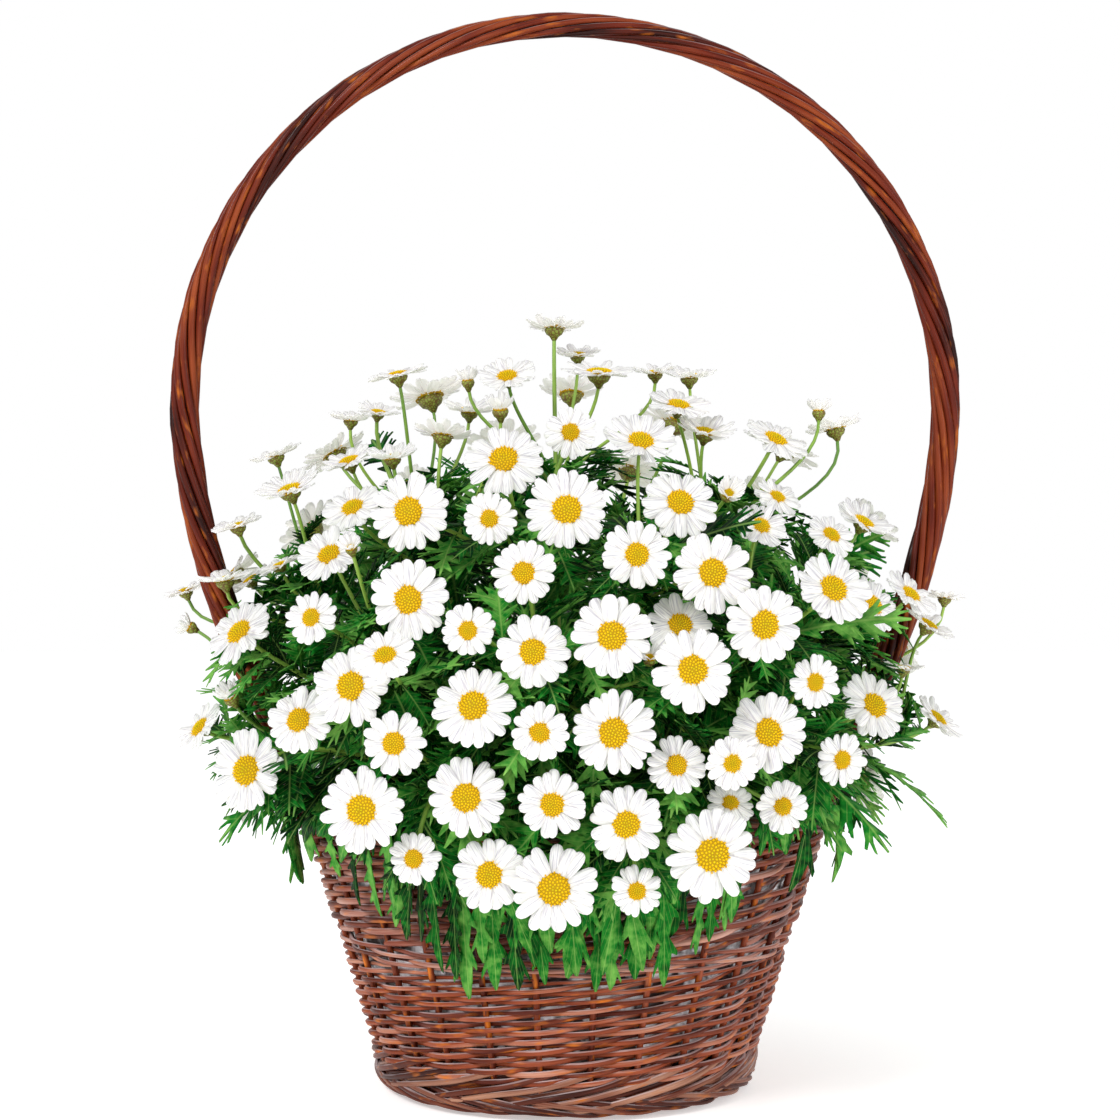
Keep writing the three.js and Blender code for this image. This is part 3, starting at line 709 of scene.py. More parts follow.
def rod_mesh(points, radii, shade, sides=8):
    """A rod in millimetres. The "straight" attribute is its place on the straightened rod."""
    curve = bpy.data.curves.new("rod", "CURVE")
    curve.dimensions = "3D"
    curve.bevel_depth = 1
    curve.bevel_resolution = sides // 2 - 2
    curve.use_fill_caps = True
    spline = curve.splines.new("POLY")
    spline.points.add(len(points) - 1)
    spline.points.foreach_set("co", np.hstack([points, np.ones((len(points), 1))]).ravel())
    spline.points.foreach_set("radius", radii)
    holder = bpy.data.objects.new("rod", curve)
    bpy.context.scene.collection.objects.link(holder)
    depsgraph = bpy.context.evaluated_depsgraph_get()
    mesh = bpy.data.meshes.new_from_object(holder.evaluated_get(depsgraph))
    bpy.data.objects.remove(holder)
    bpy.data.curves.remove(curve)
    lengths = np.concatenate([[0], np.cumsum(np.linalg.norm(np.diff(points, axis=0), axis=1))])
    # Blender puts the last cap first, then the first cap, and then the rings in their order.
    rings = np.concatenate([np.full(sides, len(points) - 1), np.zeros(sides, int),
                            np.repeat(np.arange(len(points)), sides)])
    around = TURN * (np.arange(len(rings)) % sides) / sides
    radius = np.array(radii)[rings]
    straight = np.stack([lengths[rings] + APART * shade, radius * np.cos(around),
                         radius * np.sin(around)], axis=1) * MM
    places = mesh.attributes.new("straight", "FLOAT_VECTOR", "POINT")
    places.data.foreach_set("vector", straight.ravel())
    shades = mesh.attributes.new("shade", "FLOAT", "POINT")
    shades.data.foreach_set("value", np.full(len(rings), shade))
    return mesh


def join_rods(rods, sides=8):
    """One bmesh of many rods, given as (points, radii, shade)."""
    bm = bmesh.new()
    for points, radii, shade in rods:
        mesh = rod_mesh(np.array(points, float), radii, shade, sides)
        bm.from_mesh(mesh)
        bpy.data.meshes.remove(mesh)
    return bm


def finish_piece(name, bm, material, stands_for):
    """Scales a bmesh to metres and makes it a piece that rides with the basket."""
    bmesh.ops.scale(bm, vec=(MM, MM, MM), verts=bm.verts)
    for face in bm.faces:
        face.smooth = True
    mesh = bpy.data.meshes.new(name)
    bm.to_mesh(mesh)
    bm.free()
    mesh.materials.append(material)
    made = bpy.data.objects.new(name, mesh)
    bpy.context.scene.collection.objects.link(made)
    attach(made, "root")
    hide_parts(*stands_for)
    mesh.calc_loop_triangles()
    print(name, len(mesh.loop_triangles), "triangles")


print("rods ready")

# %% [markdown]
# The finish of the willow.
#
# The rods are brown willow, boiled with the bark on and then stained and varnished: red-brown,
# with darker and greyer lengths, streaks along the rod and a few rubbed orange spots. Noise that is
# stretched along the straightened rod gives the streaks, and slower noise the drift of tone. The
# varnish is a thin coat over a half-rough surface.

# %% Willow
def willow(name, dark, middle, light, rubbed, kept, painted_sheen):
    """Brown willow, boiled, stained and varnished. The eye gets streaks, drifts, rubbed spots and a
    painted highlight, a pale colour along the upper side of each rod, broken up by the streaks."""
    material, tree, shader = new_material(name)
    place = add_node(tree, "ShaderNodeAttribute", attribute_name="straight").outputs["Vector"]
    shade = add_node(tree, "ShaderNodeAttribute", attribute_name="shade").outputs["Fac"]

    # Noise that is stretched along the straightened rod, by so much for each metre: bark streaks
    # about 0.7 mm wide and 25 mm long, a tone that drifts over some 45 mm of rod, and rubbed spots
    # about 4 mm long, one every 40 mm or so, bare and orange.
    patterns = []
    for stretch, detail in (((40, 1400, 1400), 3), ((22, 60, 60), 1), ((70, 260, 260), 2)):
        spread = add_node(tree, "ShaderNodeVectorMath", {0: place, 1: stretch}, operation="MULTIPLY")
        patterns.append(add_node(tree, "ShaderNodeTexNoise", {"Vector": spread, "Scale": 1,
                                                              "Detail": detail}))
    streak, drift, spots = patterns
    level = -0.72
    for pattern, share in ((streak, 0.6), (drift, 1.0), (shade, 0.7)):
        level = add_node(tree, "ShaderNodeMath", {0: pattern, 1: share, 2: level},
                         operation="MULTIPLY_ADD")
    tone = add_node(tree, "ShaderNodeValToRGB", {"Fac": level},
                    stops=((0.05, dark), (0.45, middle), (0.95, light)))
    bare = add_node(tree, "ShaderNodeMapRange", {"Value": spots, "From Min": kept,
                                                 "From Max": kept + 0.2})
    rub = add_node(tree, "ShaderNodeMix", {"Factor": bare, 6: tone, 7: linear(rubbed)},
                   data_type="RGBA")
    # Painted highlight: the colour turns pale where the rod faces up, the more the stronger the streak.
    geometry = add_node(tree, "ShaderNodeNewGeometry")
    facing = add_node(tree, "ShaderNodeSeparateXYZ", {0: geometry.outputs["Normal"]})
    upward = add_node(tree, "ShaderNodeMath", {0: streak, 1: 1.4, 2: facing.outputs["Z"]},
                      operation="MULTIPLY_ADD")
    painted_highlight = add_node(tree, "ShaderNodeMapRange", {"Value": upward, "From Min": 1.3, "From Max": 1.75,
                                                  "To Min": 0.0, "To Max": painted_sheen})
    pale = add_node(tree, "ShaderNodeMix", {"Factor": painted_highlight, 6: rub.outputs[2],
                                            7: linear("#e4d4d6")}, data_type="RGBA")
    tree.links.new(pale.outputs[2], shader.inputs["Base Color"])
    rough = add_node(tree, "ShaderNodeMapRange", {"Value": streak, "From Min": 0.3, "From Max": 0.7,
                                                  "To Min": 0.35, "To Max": 0.6})
    tree.links.new(rough.outputs[0], shader.inputs["Roughness"])
    shader.inputs["Specular IOR Level"].default_value = 0.12
    shader.inputs["Coat Weight"].default_value = 0.1
    shader.inputs["Coat Roughness"].default_value = 0.15
    bump = add_node(tree, "ShaderNodeBump", {"Height": streak, "Strength": 0.6, "Distance": 0.0004})
    tree.links.new(bump.outputs[0], shader.inputs["Normal"])
    return material


siding_finish = willow("brown_willow_siding", dark="#501b0d", middle="#934528", light="#cf9880",
                       rubbed="#d07018", kept=0.56, painted_sheen=0.7)
waling_finish = willow("brown_willow_waling", dark="#4a1f15", middle="#864634", light="#c79a8a",
                       rubbed="#c8702a", kept=0.58, painted_sheen=0.7)
border_finish = willow("brown_willow_border", dark="#34110a", middle="#663020", light="#b08068",
                       rubbed="#b8641a", kept=0.6, painted_sheen=0.6)
handle_finish = willow("brown_willow_handle", dark="#240602", middle="#621e0d", light="#94441f",
                       rubbed="#b05c18", kept=0.6, painted_sheen=0.3)
print("four shades of willow")

# %% [markdown]
# The woven wall.
#
# Upright stakes carry the wall, and rods are woven round them, each in front of one stake and
# behind the next. The photograph shows French randing: a rod starts at every stake and climbs by
# one row a stake, so the strokes slant up to the right. The lower half has fine rods, then come
# four level rows of the finest, then stout rods up to the rim. A rod's path is a wave that swings
# in and out once in every two stakes, worked out as points, because it has to meet its neighbours.

# %% Woven rods
BAND_DEPTH = 3.6             # the rods' mean depth under the outside of the wall
STEPS_PER_STAKE = 8
TUCK = 2.2                   # how far a rod's ends are tucked in
weaver = random.Random(11)


def woven_rod(first, stakes_long, low, climb, rod, swing, phase):
    """One rod from its first stake on, over and under, climbing so much at every stake. It thins
    to its tip, and both ends are tucked in."""
    begin = STAKE_TURN * first
    steps = STEPS_PER_STAKE * stakes_long
    sway = weaver.uniform(0.05, 0.14) * rod
    thick = rod * weaver.uniform(0.86, 1.06)
    points = []
    radii = []
    for step in range(steps + 1):
        passed = step / STEPS_PER_STAKE
        angle = begin + STAKE_TURN * passed
        tail = max(0, 1 - passed, 1 - (stakes_long - passed))
        z = low + climb * passed + sway * math.sin(0.9 * passed + phase)
        r = wall_radius(z) - BAND_DEPTH + swing * math.cos(math.pi * (passed + phase)) - TUCK * tail
        points.append((r * math.cos(angle), r * math.sin(angle), z))
        radii.append(thick * (1.08 - 0.24 * passed / stakes_long) * (1 - 0.25 * tail))
    return points, radii, weaver.random()


def randed_rods(low, pitch, rows, rod, swing):
    """French randing: as many rods as stakes, each climbing by one row a stake."""
    return [woven_rod(k, rows, low + weaver.uniform(-0.1, 0.1) * pitch, pitch, rod, swing, phase=0)
            for k in range(STAKES)]


def level_rods(low, pitch, rows, rod, swing):
    """Level rows, each of two rods that go half round and overlap by a stake. Every row starts
    three stakes further on, so that the ends don't line up."""
    made = []
    for row in range(rows):
        for half in range(2):
            first = 3 * row + STAKES // 2 * half
            made.append(woven_rod(first, STAKES // 2 + 1, low + pitch * row, 0, rod, swing, row + first))
    return made


print("a rod of a level row passes", STAKES // 2 + 1, "stakes")

# %% Stakes
STAKE_THICK = 1.75
STAKE_POINTS = 9
# Painted shade: the stakes, and the base's spokes, stand behind and under the rods, so their tone is kept to
# the darker part of the range.
PAINTED_SHADE_CAP = 0.6               # the tone of the uprights keeps to the darker part of the range


def stakes(low, high):
    made = []
    for k in range(STAKES):
        angle = STAKE_TURN * k + weaver.uniform(-0.01, 0.01)
        points = []
        for z in np.linspace(low, high, STAKE_POINTS):
            r = wall_radius(z) - BAND_DEPTH
            points.append((r * math.cos(angle), r * math.sin(angle), z))
        made.append((points, [STAKE_THICK] * STAKE_POINTS, weaver.random() * PAINTED_SHADE_CAP))
    return made


print(STAKES, "stakes,", round(STAKE_TURN * wall_radius(RIM_TOP), 1), "mm apart at the rim")

# %% Weave the three bands
siding = randed_rods(low=14.5, pitch=2.8, rows=22, rod=1.45, swing=2.9)
siding += stakes(low=10, high=150)
waling = level_rods(low=78.4, pitch=2.35, rows=4, rod=1.15, swing=2.4)
waling += randed_rods(low=88.4, pitch=3.25, rows=9, rod=1.85, swing=3.0)
upper = randed_rods(low=119.6, pitch=3.2, rows=7, rod=1.8, swing=3.0)
finish_piece("siding_rods", join_rods(siding), siding_finish, ["siding"])
finish_piece("waling_rods", join_rods(waling), waling_finish, ["waling"])
finish_piece("upper_siding_rods", join_rods(upper), waling_finish, ["upper_siding"])

# %% [markdown]
# The borders.
#
# At the foot the stakes' ends are laid down in a slanting border: each rod comes out of the wall,
# sweeps down over its neighbours for about four stakes and tucks in under the edge. Tips run the
# other way along the ground, over level rods. At the rim the rods are turned over the edge in the
# same manner, for three to four stakes. A rod's path is a few corner points, rounded.


# %% A border of slanting rods
CORNER_STEPS = 5
BETWEEN = 0.5                # the offset of a layer that is laid between the stakes


def rounded(corners):
    """A smooth row of points through corners given as (angle, radius, height)."""
    rows = [np.array(corner, float) for corner in corners]
    rows = [2 * rows[0] - rows[1], *rows, 2 * rows[-1] - rows[-2]]
    made = []
    for k in range(len(rows) - 3):
        a, b, c, d = rows[k:k + 4]
        for step in range(CORNER_STEPS + (k == len(rows) - 4)):
            t = step / CORNER_STEPS
            angle, r, z = 0.5 * (2 * b + (c - a) * t + (2 * a - 5 * b + 4 * c - d) * t * t
                                 + (3 * b - a - 3 * c + d) * t ** 3)
            made.append((r * math.cos(angle), r * math.sin(angle), z))
    return made


def border_rods(corners, thick, taper, offset=0.0):
    """The same path laid at each stake, or between stakes, each rod a little different. A corner
    is (angle in stakes, radius, height)."""
    made = []
    for k in range(STAKES):
        base = TURN * (k + offset) / STAKES
        wander = weaver.uniform(-0.02, 0.02)
        moved = [(base + angle * STAKE_TURN + wander * i, r + weaver.uniform(-0.5, 0.4),
                  z + weaver.uniform(-0.5, 0.5)) for i, (angle, r, z) in enumerate(corners)]
        path = rounded(moved)
        size = thick * weaver.uniform(0.86, 1.08)
        radii = [size * (1 - taper * k / (len(path) - 1)) for k in range(len(path))]
        made.append((path, radii, weaver.random()))
    return made


print("a border's path has", CORNER_STEPS, "points from corner to corner")

# %% Foot border
FOOT_SWEEP = ((0.6, 99, 31), (0.15, 104.4, 25.5), (-0.8, 105.4, 18.5), (-1.9, 104.8, 12.5),
              (-3.0, 102.8, 7), (-3.9, 99.5, 4))
FOOT_TIPS = ((-0.7, 98, 13), (0.3, 103.2, 10.6), (1.5, 103.8, 6.4), (2.5, 100.8, 3.2), (3.2, 96.5, 2.8))
deeper_sweep = [(angle, r - 2.8, z) for angle, r, z in FOOT_SWEEP]
foot = border_rods(FOOT_SWEEP, thick=1.95, taper=0.3)
foot += border_rods(deeper_sweep, thick=1.9, taper=0.3, offset=BETWEEN)
foot += border_rods(FOOT_TIPS, thick=1.9, taper=0.4, offset=BETWEEN)
foot += level_rods(low=3.6, pitch=3.1, rows=4, rod=1.6, swing=1.2)
finish_piece("foot_border_rods", join_rods(foot), border_finish, ["foot_border"])

# %% Rim border
RIM_SWEEP = ((-0.4, 139, 141), (0, 140, 150), (0.5, 143.2, 154.6), (1.3, 147.6, 153.4),
             (2.2, 149.4, 149), (3.0, 147.4, 145), (3.5, 143, 143.6))
RIM_ROLL = ((-0.3, 141, 148), (0.6, 140, 152.8), (1.6, 142.6, 155), (2.6, 146.4, 152), (3.2, 146, 148))
rim = border_rods(RIM_SWEEP, thick=2.1, taper=0.25)
rim += border_rods(RIM_ROLL, thick=2.0, taper=0.3, offset=BETWEEN)
finish_piece("rim_border_rods", join_rods(rim), border_finish, ["rim_border"])

# %% [markdown]
# The base.
#
# The base is woven like the wall, but flat: sticks run out from the middle like spokes, and fine
# rods go round them, over one and under the next.


# %% Base
BASE_Z = 8.2                 # the height of the base's middle plane
BASE_RADIUS = 97
SPOKE = 1.9
SPOKE_POINTS = 7
RINGS = 26
RING_ROD = 1.6
RING_STEPS = 96


def spokes():
    """Every fourth spoke runs in to the middle, the others end further out."""
    made = []
    for k in range(STAKES):
        angle = TURN * k / STAKES
        inner = 4 if k % 4 == 0 else 14 if k % 2 == 0 else 30
        points = [(r * math.cos(angle), r * math.sin(angle), BASE_Z)
                  for r in np.linspace(inner, BASE_RADIUS, SPOKE_POINTS)]
        made.append((points, [SPOKE] * SPOKE_POINTS, weaver.random() * PAINTED_SHADE_CAP))
    return made


def base_rings():
    """Rods round the spokes, over one and under the next, and in the middle over fewer."""
    made = []
    for ring in range(RINGS):
        radius = 6 + 3.4 * ring
        waves = STAKES // 2 if radius > 34 else STAKES // 4
        points = []
        for k in range(RING_STEPS + 1):
            angle = TURN * k / RING_STEPS
            height = BASE_Z + 1.7 * math.cos(waves * angle + math.pi * ring)
            points.append((radius * math.cos(angle), radius * math.sin(angle), height))
        made.append((points, [RING_ROD] * (RING_STEPS + 1), weaver.random()))
    return made


finish_piece("base_rods", join_rods(spokes() + base_rings(), 6), siding_finish,
             ["basket_base"])

# %% [markdown]
# The handle.
#
# The hoop is a bundle of nine long rods laid round a heart rod, like the strands of a rope, with
# one full turn in about 215 mm. Its legs thin out and run down inside the wall. Each strand could
# be bent by a curve modifier, but its points are simply worked out on the CAD's own path: so far
# along, so far round.

# %% Handle
STRANDS = 9
HANDLE_STEPS = 150
roper = random.Random(3)


def handle_strand(turn, reach, thick, wander):
    """One rod of the rope: so far round, so far out from its middle, with a slow wander."""
    points = []
    radii = []
    for k in range(HANDLE_STEPS + 1):
        share = k / HANDLE_STEPS
        centre = handle_at(share)
        tangent = unit(handle_at(min(share + 0.001, 1)) - handle_at(max(share - 0.001, 0)))
        outward = -np.cross(vec(0, -1, 0), tangent)
        size = handle_radius(centre[2]) / HOOP_THICK
        angle = turn + TURN * share * HANDLE_LENGTH / ROPE_LAY + wander * math.sin(9 * share + turn)
        r = reach * size
        spot = centre + outward * (r * math.cos(angle)) + vec(0, -1, 0) * (r * math.sin(angle))
        points.append(spot)
        radii.append(thick * size)
    return points, radii, roper.random()


strands = [handle_strand(turn=-TURN * k / STRANDS, reach=6.4 + roper.uniform(-0.4, 0.2),
                         thick=2.02 * roper.uniform(0.9, 1.08), wander=0.09)
           for k in range(STRANDS)]
# Painted shade: the heart rod is given the darkest tone, so that the grooves between the strands look dark.
heart_points, heart_radii, _ = handle_strand(turn=0, reach=0, thick=4.5, wander=0)
strands.append((heart_points, heart_radii, 0))
finish_piece("handle_rods", join_rods(strands), handle_finish, ["handle"])

# %% [markdown]
# Stems and stalks.
#
# The leafy stems rise out of the compost and each flower stalk branches off one of them. They are
# round, ribbed, fresh green, and thinner towards the flower, so they are swept like the rods, on
# the smooth curves that the layout has found.


# %% Stems
STEM_STEPS = 18
STALK_STEPS = 12
BELOW = 14                   # how deep a stem goes into its hole in the compost
grower = random.Random(29)


def points_on(curve, steps):
    return [curve.point(k / steps) for k in range(steps + 1)]


def thinning(thick, thinner, steps):
    """Radii that go from thick to so much thinner."""
    return [thick - thinner * k / steps for k in range(steps + 1)]


def stem_rods():
    made = []
    for curve in stems:
        points = points_on(curve, STEM_STEPS)
        radii = [STEM, *thinning(1.65, 0.6, STEM_STEPS)]
        made.append(([points[0] - UP * BELOW, *points], radii, grower.random()))
    for curve in stalks:
        radii = thinning(1.15, 0.2, STALK_STEPS)
        made.append((points_on(curve, STALK_STEPS), radii, grower.random()))
    return made


def stem_material():
    """Young green stems, fine-ribbed. The eye gets a fresh green, yellower on some stems than on others."""
    material, tree, shader = new_material("daisy_stem")
    place = add_node(tree, "ShaderNodeAttribute", attribute_name="straight").outputs["Vector"]
    shade = add_node(tree, "ShaderNodeAttribute", attribute_name="shade").outputs["Fac"]
    # Ribs about 0.5 mm apart, run out along the stem.
    ribs = add_node(tree, "ShaderNodeVectorMath", {0: place, 1: (60, 1900, 1900)}, operation="MULTIPLY")
    ribbed = add_node(tree, "ShaderNodeTexNoise", {"Vector": ribs, "Scale": 1, "Detail": 2})
    mixed = add_node(tree, "ShaderNodeMath", {0: shade, 1: 0.6, 2: ribbed}, operation="MULTIPLY_ADD")
    green = add_node(tree, "ShaderNodeValToRGB", {"Fac": mixed}, stops=((0.3, "#37721f"), (1, "#98bb4c")))
    tree.links.new(green.outputs["Color"], shader.inputs["Base Color"])
    bump = add_node(tree, "ShaderNodeBump", {"Height": ribbed, "Strength": 0.4, "Distance": 0.0002})
    tree.links.new(bump.outputs[0], shader.inputs["Normal"])
    shader.inputs["Roughness"].default_value = 0.5
    return material


finish_piece("stems_and_stalks", join_rods(stem_rods(), 6), stem_material(), sprays_in_cad)

# %% [markdown]
# Shapes that are repeated.
#
# There are about two thousand petals, as many leaves and ten thousand florets. Each kind is
# modelled once, flat and small, with a few dozen faces, and then stamped: a copy is bent into place
# point by point and joined to the rest. Instances would be lighter, but all alike.


# %% Templates and stamping
def new_template():
    bm = bmesh.new()
    for name in ("across", "along", "shade"):
        bm.verts.layers.float.new(name)
    return bm


def keep_places(bm):
    """Notes each point's flat place, for the materials, before the shape is bent."""
    across = bm.verts.layers.float["across"]
    along = bm.verts.layers.float["along"]
    for vert in bm.verts:
        vert[across] = vert.co.x
        vert[along] = vert.co.y


def thicken(bm):
    """Gives a flat shape a second face at z = -1 and walls between the two."""
    bmesh.ops.recalc_face_normals(bm, faces=bm.faces)
    made = bmesh.ops.extrude_face_region(bm, geom=bm.faces[:])
    lower = [item for item in made["geom"] if isinstance(item, bmesh.types.BMVert)]
    bmesh.ops.translate(bm, verts=lower, vec=(0, 0, -1))
    bmesh.ops.recalc_face_normals(bm, faces=bm.faces)
    return bm


def stamp(target, template, place, shade):
    """Adds a copy of the template with each point moved by place(x, y, z)."""
    copy = template.copy()
    layer = copy.verts.layers.float["shade"]
    for vert in copy.verts:
        vert.co = place(*vert.co)
        vert[layer] = shade
    mesh = bpy.data.meshes.new("stamp")
    copy.to_mesh(mesh)
    copy.free()
    target.from_mesh(mesh)
    bpy.data.meshes.remove(mesh)


print("templates ready")

# %% [markdown]
# Petals.
#
# A marguerite has fifteen to twenty white ray petals in one loose ring round its yellow disc: long
# ovals with a blunt tip, two shallow grooves, and a narrow foot. A half-open bud is given ten that
# stand up. The template is a small grid whose columns are pulled to that outline and thickened. The
# ring is seldom regular, so length, width, rise and twist are drawn for each petal, and every
# second one lies a little lower.

# %% Petal template
# Rows of (along, half width), as parts of the length and of the widest half width.
PETAL_OUTLINE = ((0, 0.5), (0.2, 0.74), (0.42, 0.93), (0.64, 1.0), (0.82, 0.93), (0.94, 0.68),
                 (0.99, 0.38))
PETAL_ROWS = len(PETAL_OUTLINE) - 1


def petal_template():
    bm = new_template()
    bmesh.ops.create_grid(bm, x_segments=2, y_segments=PETAL_ROWS, size=0.5)
    for vert in bm.verts:
        row = round((vert.co.y + 0.5) * PETAL_ROWS)
        column = round(vert.co.x * 2)
        height, half = PETAL_OUTLINE[row]
        blunt = 0.02 if row == PETAL_ROWS and column == 0 else 0
        vert.co = (column * half, height + blunt, 0)
    keep_places(bm)
    return thicken(bm)


petal = petal_template()
print("petal template", len(petal.faces), "faces")


# %% Lay the petals round each flower
BUD_PETALS = 10
FEW_PETALS = (15, 16, 17, 18)
MANY_PETALS = (17, 18, 19, 20)
LARGE_HEAD = 20              # the radius from which a flower has many petals
PETAL_FOOT = 0.22            # where a petal begins, as a part of the flower's radius
OPEN_PETAL = {"length": 0.78, "width": 1}
BUD_PETAL = {"length": 0.95, "width": 0.75, "rise": 0.95}
OVERLAP = 2.95               # half widths that fill a ring where the petals overlap a little
UPPER = 0.3                  # the layers that petals lie in by turns
LOWER = -0.5
PETAL_THICK = 0.35
petaller = random.Random(17)


def petal_count(flower):
    if flower.bud:
        return BUD_PETALS
    return petaller.choice(MANY_PETALS if flower.radius > LARGE_HEAD else FEW_PETALS)


def petal_place(flower, u, v, angle, length, half, rise, droop, twist, level):
    """Bends a petal: out along its angle, up by its rise, drooping to the tip, twisted."""
    out = u * math.cos(angle) + v * math.sin(angle)
    side = v * math.cos(angle) - u * math.sin(angle)
    foot = PETAL_FOOT * flower.radius
    c, s = math.cos(rise), math.sin(rise)

    def place(x, y, z):
        bow = droop * y * y * length
        # The edges turn down a little, and a wave across the petal makes the two grooves.
        dish = -0.18 * half * (x * x) + 0.10 * half * math.cos(3 * math.pi * x)
        across = x * half
        turn = twist * y
        reach = foot + y * length * c - (bow + dish) * s
        lift = level + y * length * s + (bow + dish) * c + across * math.sin(turn) + z * PETAL_THICK
        return flower.at + out * reach + side * (across * math.cos(turn)) + flower.facing * lift

    return place


def ring_rise(flower):
    """How far the whole ring of petals is cupped: a bud's most, and more where it faces up."""
    if flower.bud:
        return BUD_PETAL["rise"]
    return petaller.uniform(-0.03, 0.12) + max(0, flower.facing[2] - 0.55) * 0.7


def lay_petals(bm, flower):
    u, v = frame_of(flower.facing, flower.roll)
    shape = BUD_PETAL if flower.bud else OPEN_PETAL
    count = petal_count(flower)
    cupped = ring_rise(flower)
    droop = petaller.uniform(-0.16, 0.04)
    shade = petaller.random()
    for k in range(count):
        angle = TURN * (k + petaller.uniform(-0.27, 0.27)) / count
        rise = cupped + petaller.uniform(-0.12, 0.12)
        length = flower.radius * shape["length"] * petaller.uniform(0.89, 1.03)
        half = flower.radius * OVERLAP / count * petaller.uniform(0.86, 1.12) * shape["width"]
        twist = petaller.uniform(-0.35, 0.35)
        level = UPPER if k % 2 else LOWER
        bow = droop + petaller.uniform(-0.05, 0.05)
        place = petal_place(flower, u, v, angle, length, half, rise, bow, twist, level)
        stamp(bm, petal, place, 0.6 * shade + 0.4 * petaller.random())


print("an open flower has", min(FEW_PETALS), "to", max(MANY_PETALS), "petals")


# %% Petal finish
def petal_material():
    """White ray petals, matt and slightly see-through. The eye gets a warm white with two faint
    lilac-grey grooves and a greenish foot, partly painted shade by the disc. Painted light, an
    emission that is brighter on faces that point down, makes even the undersides cream-white."""
    material, tree, shader = new_material("daisy_petal")
    across = add_node(tree, "ShaderNodeAttribute", attribute_name="across").outputs["Fac"]
    along = add_node(tree, "ShaderNodeAttribute", attribute_name="along").outputs["Fac"]
    shade = add_node(tree, "ShaderNodeAttribute", attribute_name="shade").outputs["Fac"]
    # Veins: about ten lines across a petal some 7 mm wide, wavering along it.
    lines = add_node(tree, "ShaderNodeCombineXYZ", {"X": across, "Y": along, "Z": shade})
    spread = add_node(tree, "ShaderNodeVectorMath", {0: lines, 1: (5, 1.2, 40)}, operation="MULTIPLY")
    veins = add_node(tree, "ShaderNodeTexNoise", {"Vector": spread, "Scale": 1, "Detail": 2})
    white = add_node(tree, "ShaderNodeValToRGB", {"Fac": veins},
                     stops=((0.32, "#bdb8c2"), (0.55, "#faf9f5")))
    # The greenish foot is partly the petal's own tint and partly painted shade where the petals meet the
    # disc.
    foot = add_node(tree, "ShaderNodeMapRange", {"Value": along, "From Min": 0.0, "From Max": 0.3,
                                                 "To Min": 0.55, "To Max": 0.0})
    foot_tint_and_shade = add_node(tree, "ShaderNodeMix", {"Factor": foot, 6: white, 7: linear("#cfd0a4")},
                      data_type="RGBA")
    tree.links.new(foot_tint_and_shade.outputs[2], shader.inputs["Base Color"])
    bump = add_node(tree, "ShaderNodeBump", {"Height": veins, "Strength": 0.12, "Distance": 0.0004})
    tree.links.new(bump.outputs[0], shader.inputs["Normal"])
    shader.inputs["Roughness"].default_value = 0.6
    shader.inputs["Subsurface Weight"].default_value = 0.6
    shader.inputs["Subsurface Radius"].default_value = (1, 1, 0.9)
    shader.inputs["Subsurface Scale"].default_value = 0.003
    # Painted light: an emission, cream-white on faces that point down and dim grey on the others,
    # stands in for light coming through the thin petals, so even their undersides are cream-white.
    geometry = add_node(tree, "ShaderNodeNewGeometry")
    facing = add_node(tree, "ShaderNodeSeparateXYZ", {0: geometry.outputs["Normal"]})
    under = add_node(tree, "ShaderNodeMapRange", {"Value": facing.outputs["Z"], "From Min": 0.1,
                                                  "From Max": -0.6})
    painted_glow = add_node(tree, "ShaderNodeMix", {"Factor": under, 6: linear("#75736d"),
                                            7: linear("#fbf8ea")}, data_type="RGBA")
    tree.links.new(painted_glow.outputs[2], shader.inputs["Emission Color"])
    shader.inputs["Emission Strength"].default_value = 0.28
    return material


petal_finish = petal_material()
print("petal finish", petal_finish.name)

# %% All the petals, in two pieces
FRONT_FROM = -60             # heads nearer to the camera than this are the front piece's
in_front = [flower for flower in flowers if flower.at[1] < FRONT_FROM]
behind = [flower for flower in flowers if flower.at[1] >= FRONT_FROM]
for name, group in (("petals_front", in_front), ("petals_back", behind)):
    bm = bmesh.new()
    for flower in group:
        lay_petals(bm, flower)
    finish_piece(name, bm, petal_finish, sprays_in_cad)

# %% [markdown]
# The yellow disc.
#
# The disc is a low dome packed with tiny tube flowers in spirals. Those near the rim are open and
# darker, those in the middle still green-yellow buds. The dome is half a sphere, flattened, and
# the tube flowers are small cones set on it by the golden angle, as the plant itself does it.

# %% Disc
DISC_SHARE = 0.375           # the disc's part of the flower's radius
BUD_DISC_SHARE = 0.38
FLORETS = 84
GOLDEN = math.pi * (3 - math.sqrt(5))
IN_THE_GAPS = 1.5            # past the rim on the colour ramp, where its darkest tone is
discer = random.Random(41)


def dome_template():
    bm = new_template()
    bmesh.ops.create_uvsphere(bm, u_segments=12, v_segments=6, radius=1)
    low = [vert for vert in bm.verts if vert.co.z < -0.1]
    bmesh.ops.delete(bm, geom=low, context="VERTS")
    rim = [edge for edge in bm.edges if edge.is_boundary]
    bmesh.ops.contextual_create(bm, geom=rim)
    along = bm.verts.layers.float["along"]
    for vert in bm.verts:
        vert[along] = IN_THE_GAPS
    return bm


def floret_template():
    bm = new_template()
    bmesh.ops.create_cone(bm, cap_ends=True, segments=5, radius1=1, radius2=0.45, depth=1)
    return bm


def disc_height(reach, radius):
    """How high the dome stands at this share of its radius."""
    return 0.36 * radius * math.sqrt(max(0, 1 - reach * reach)) - 0.04 * radius


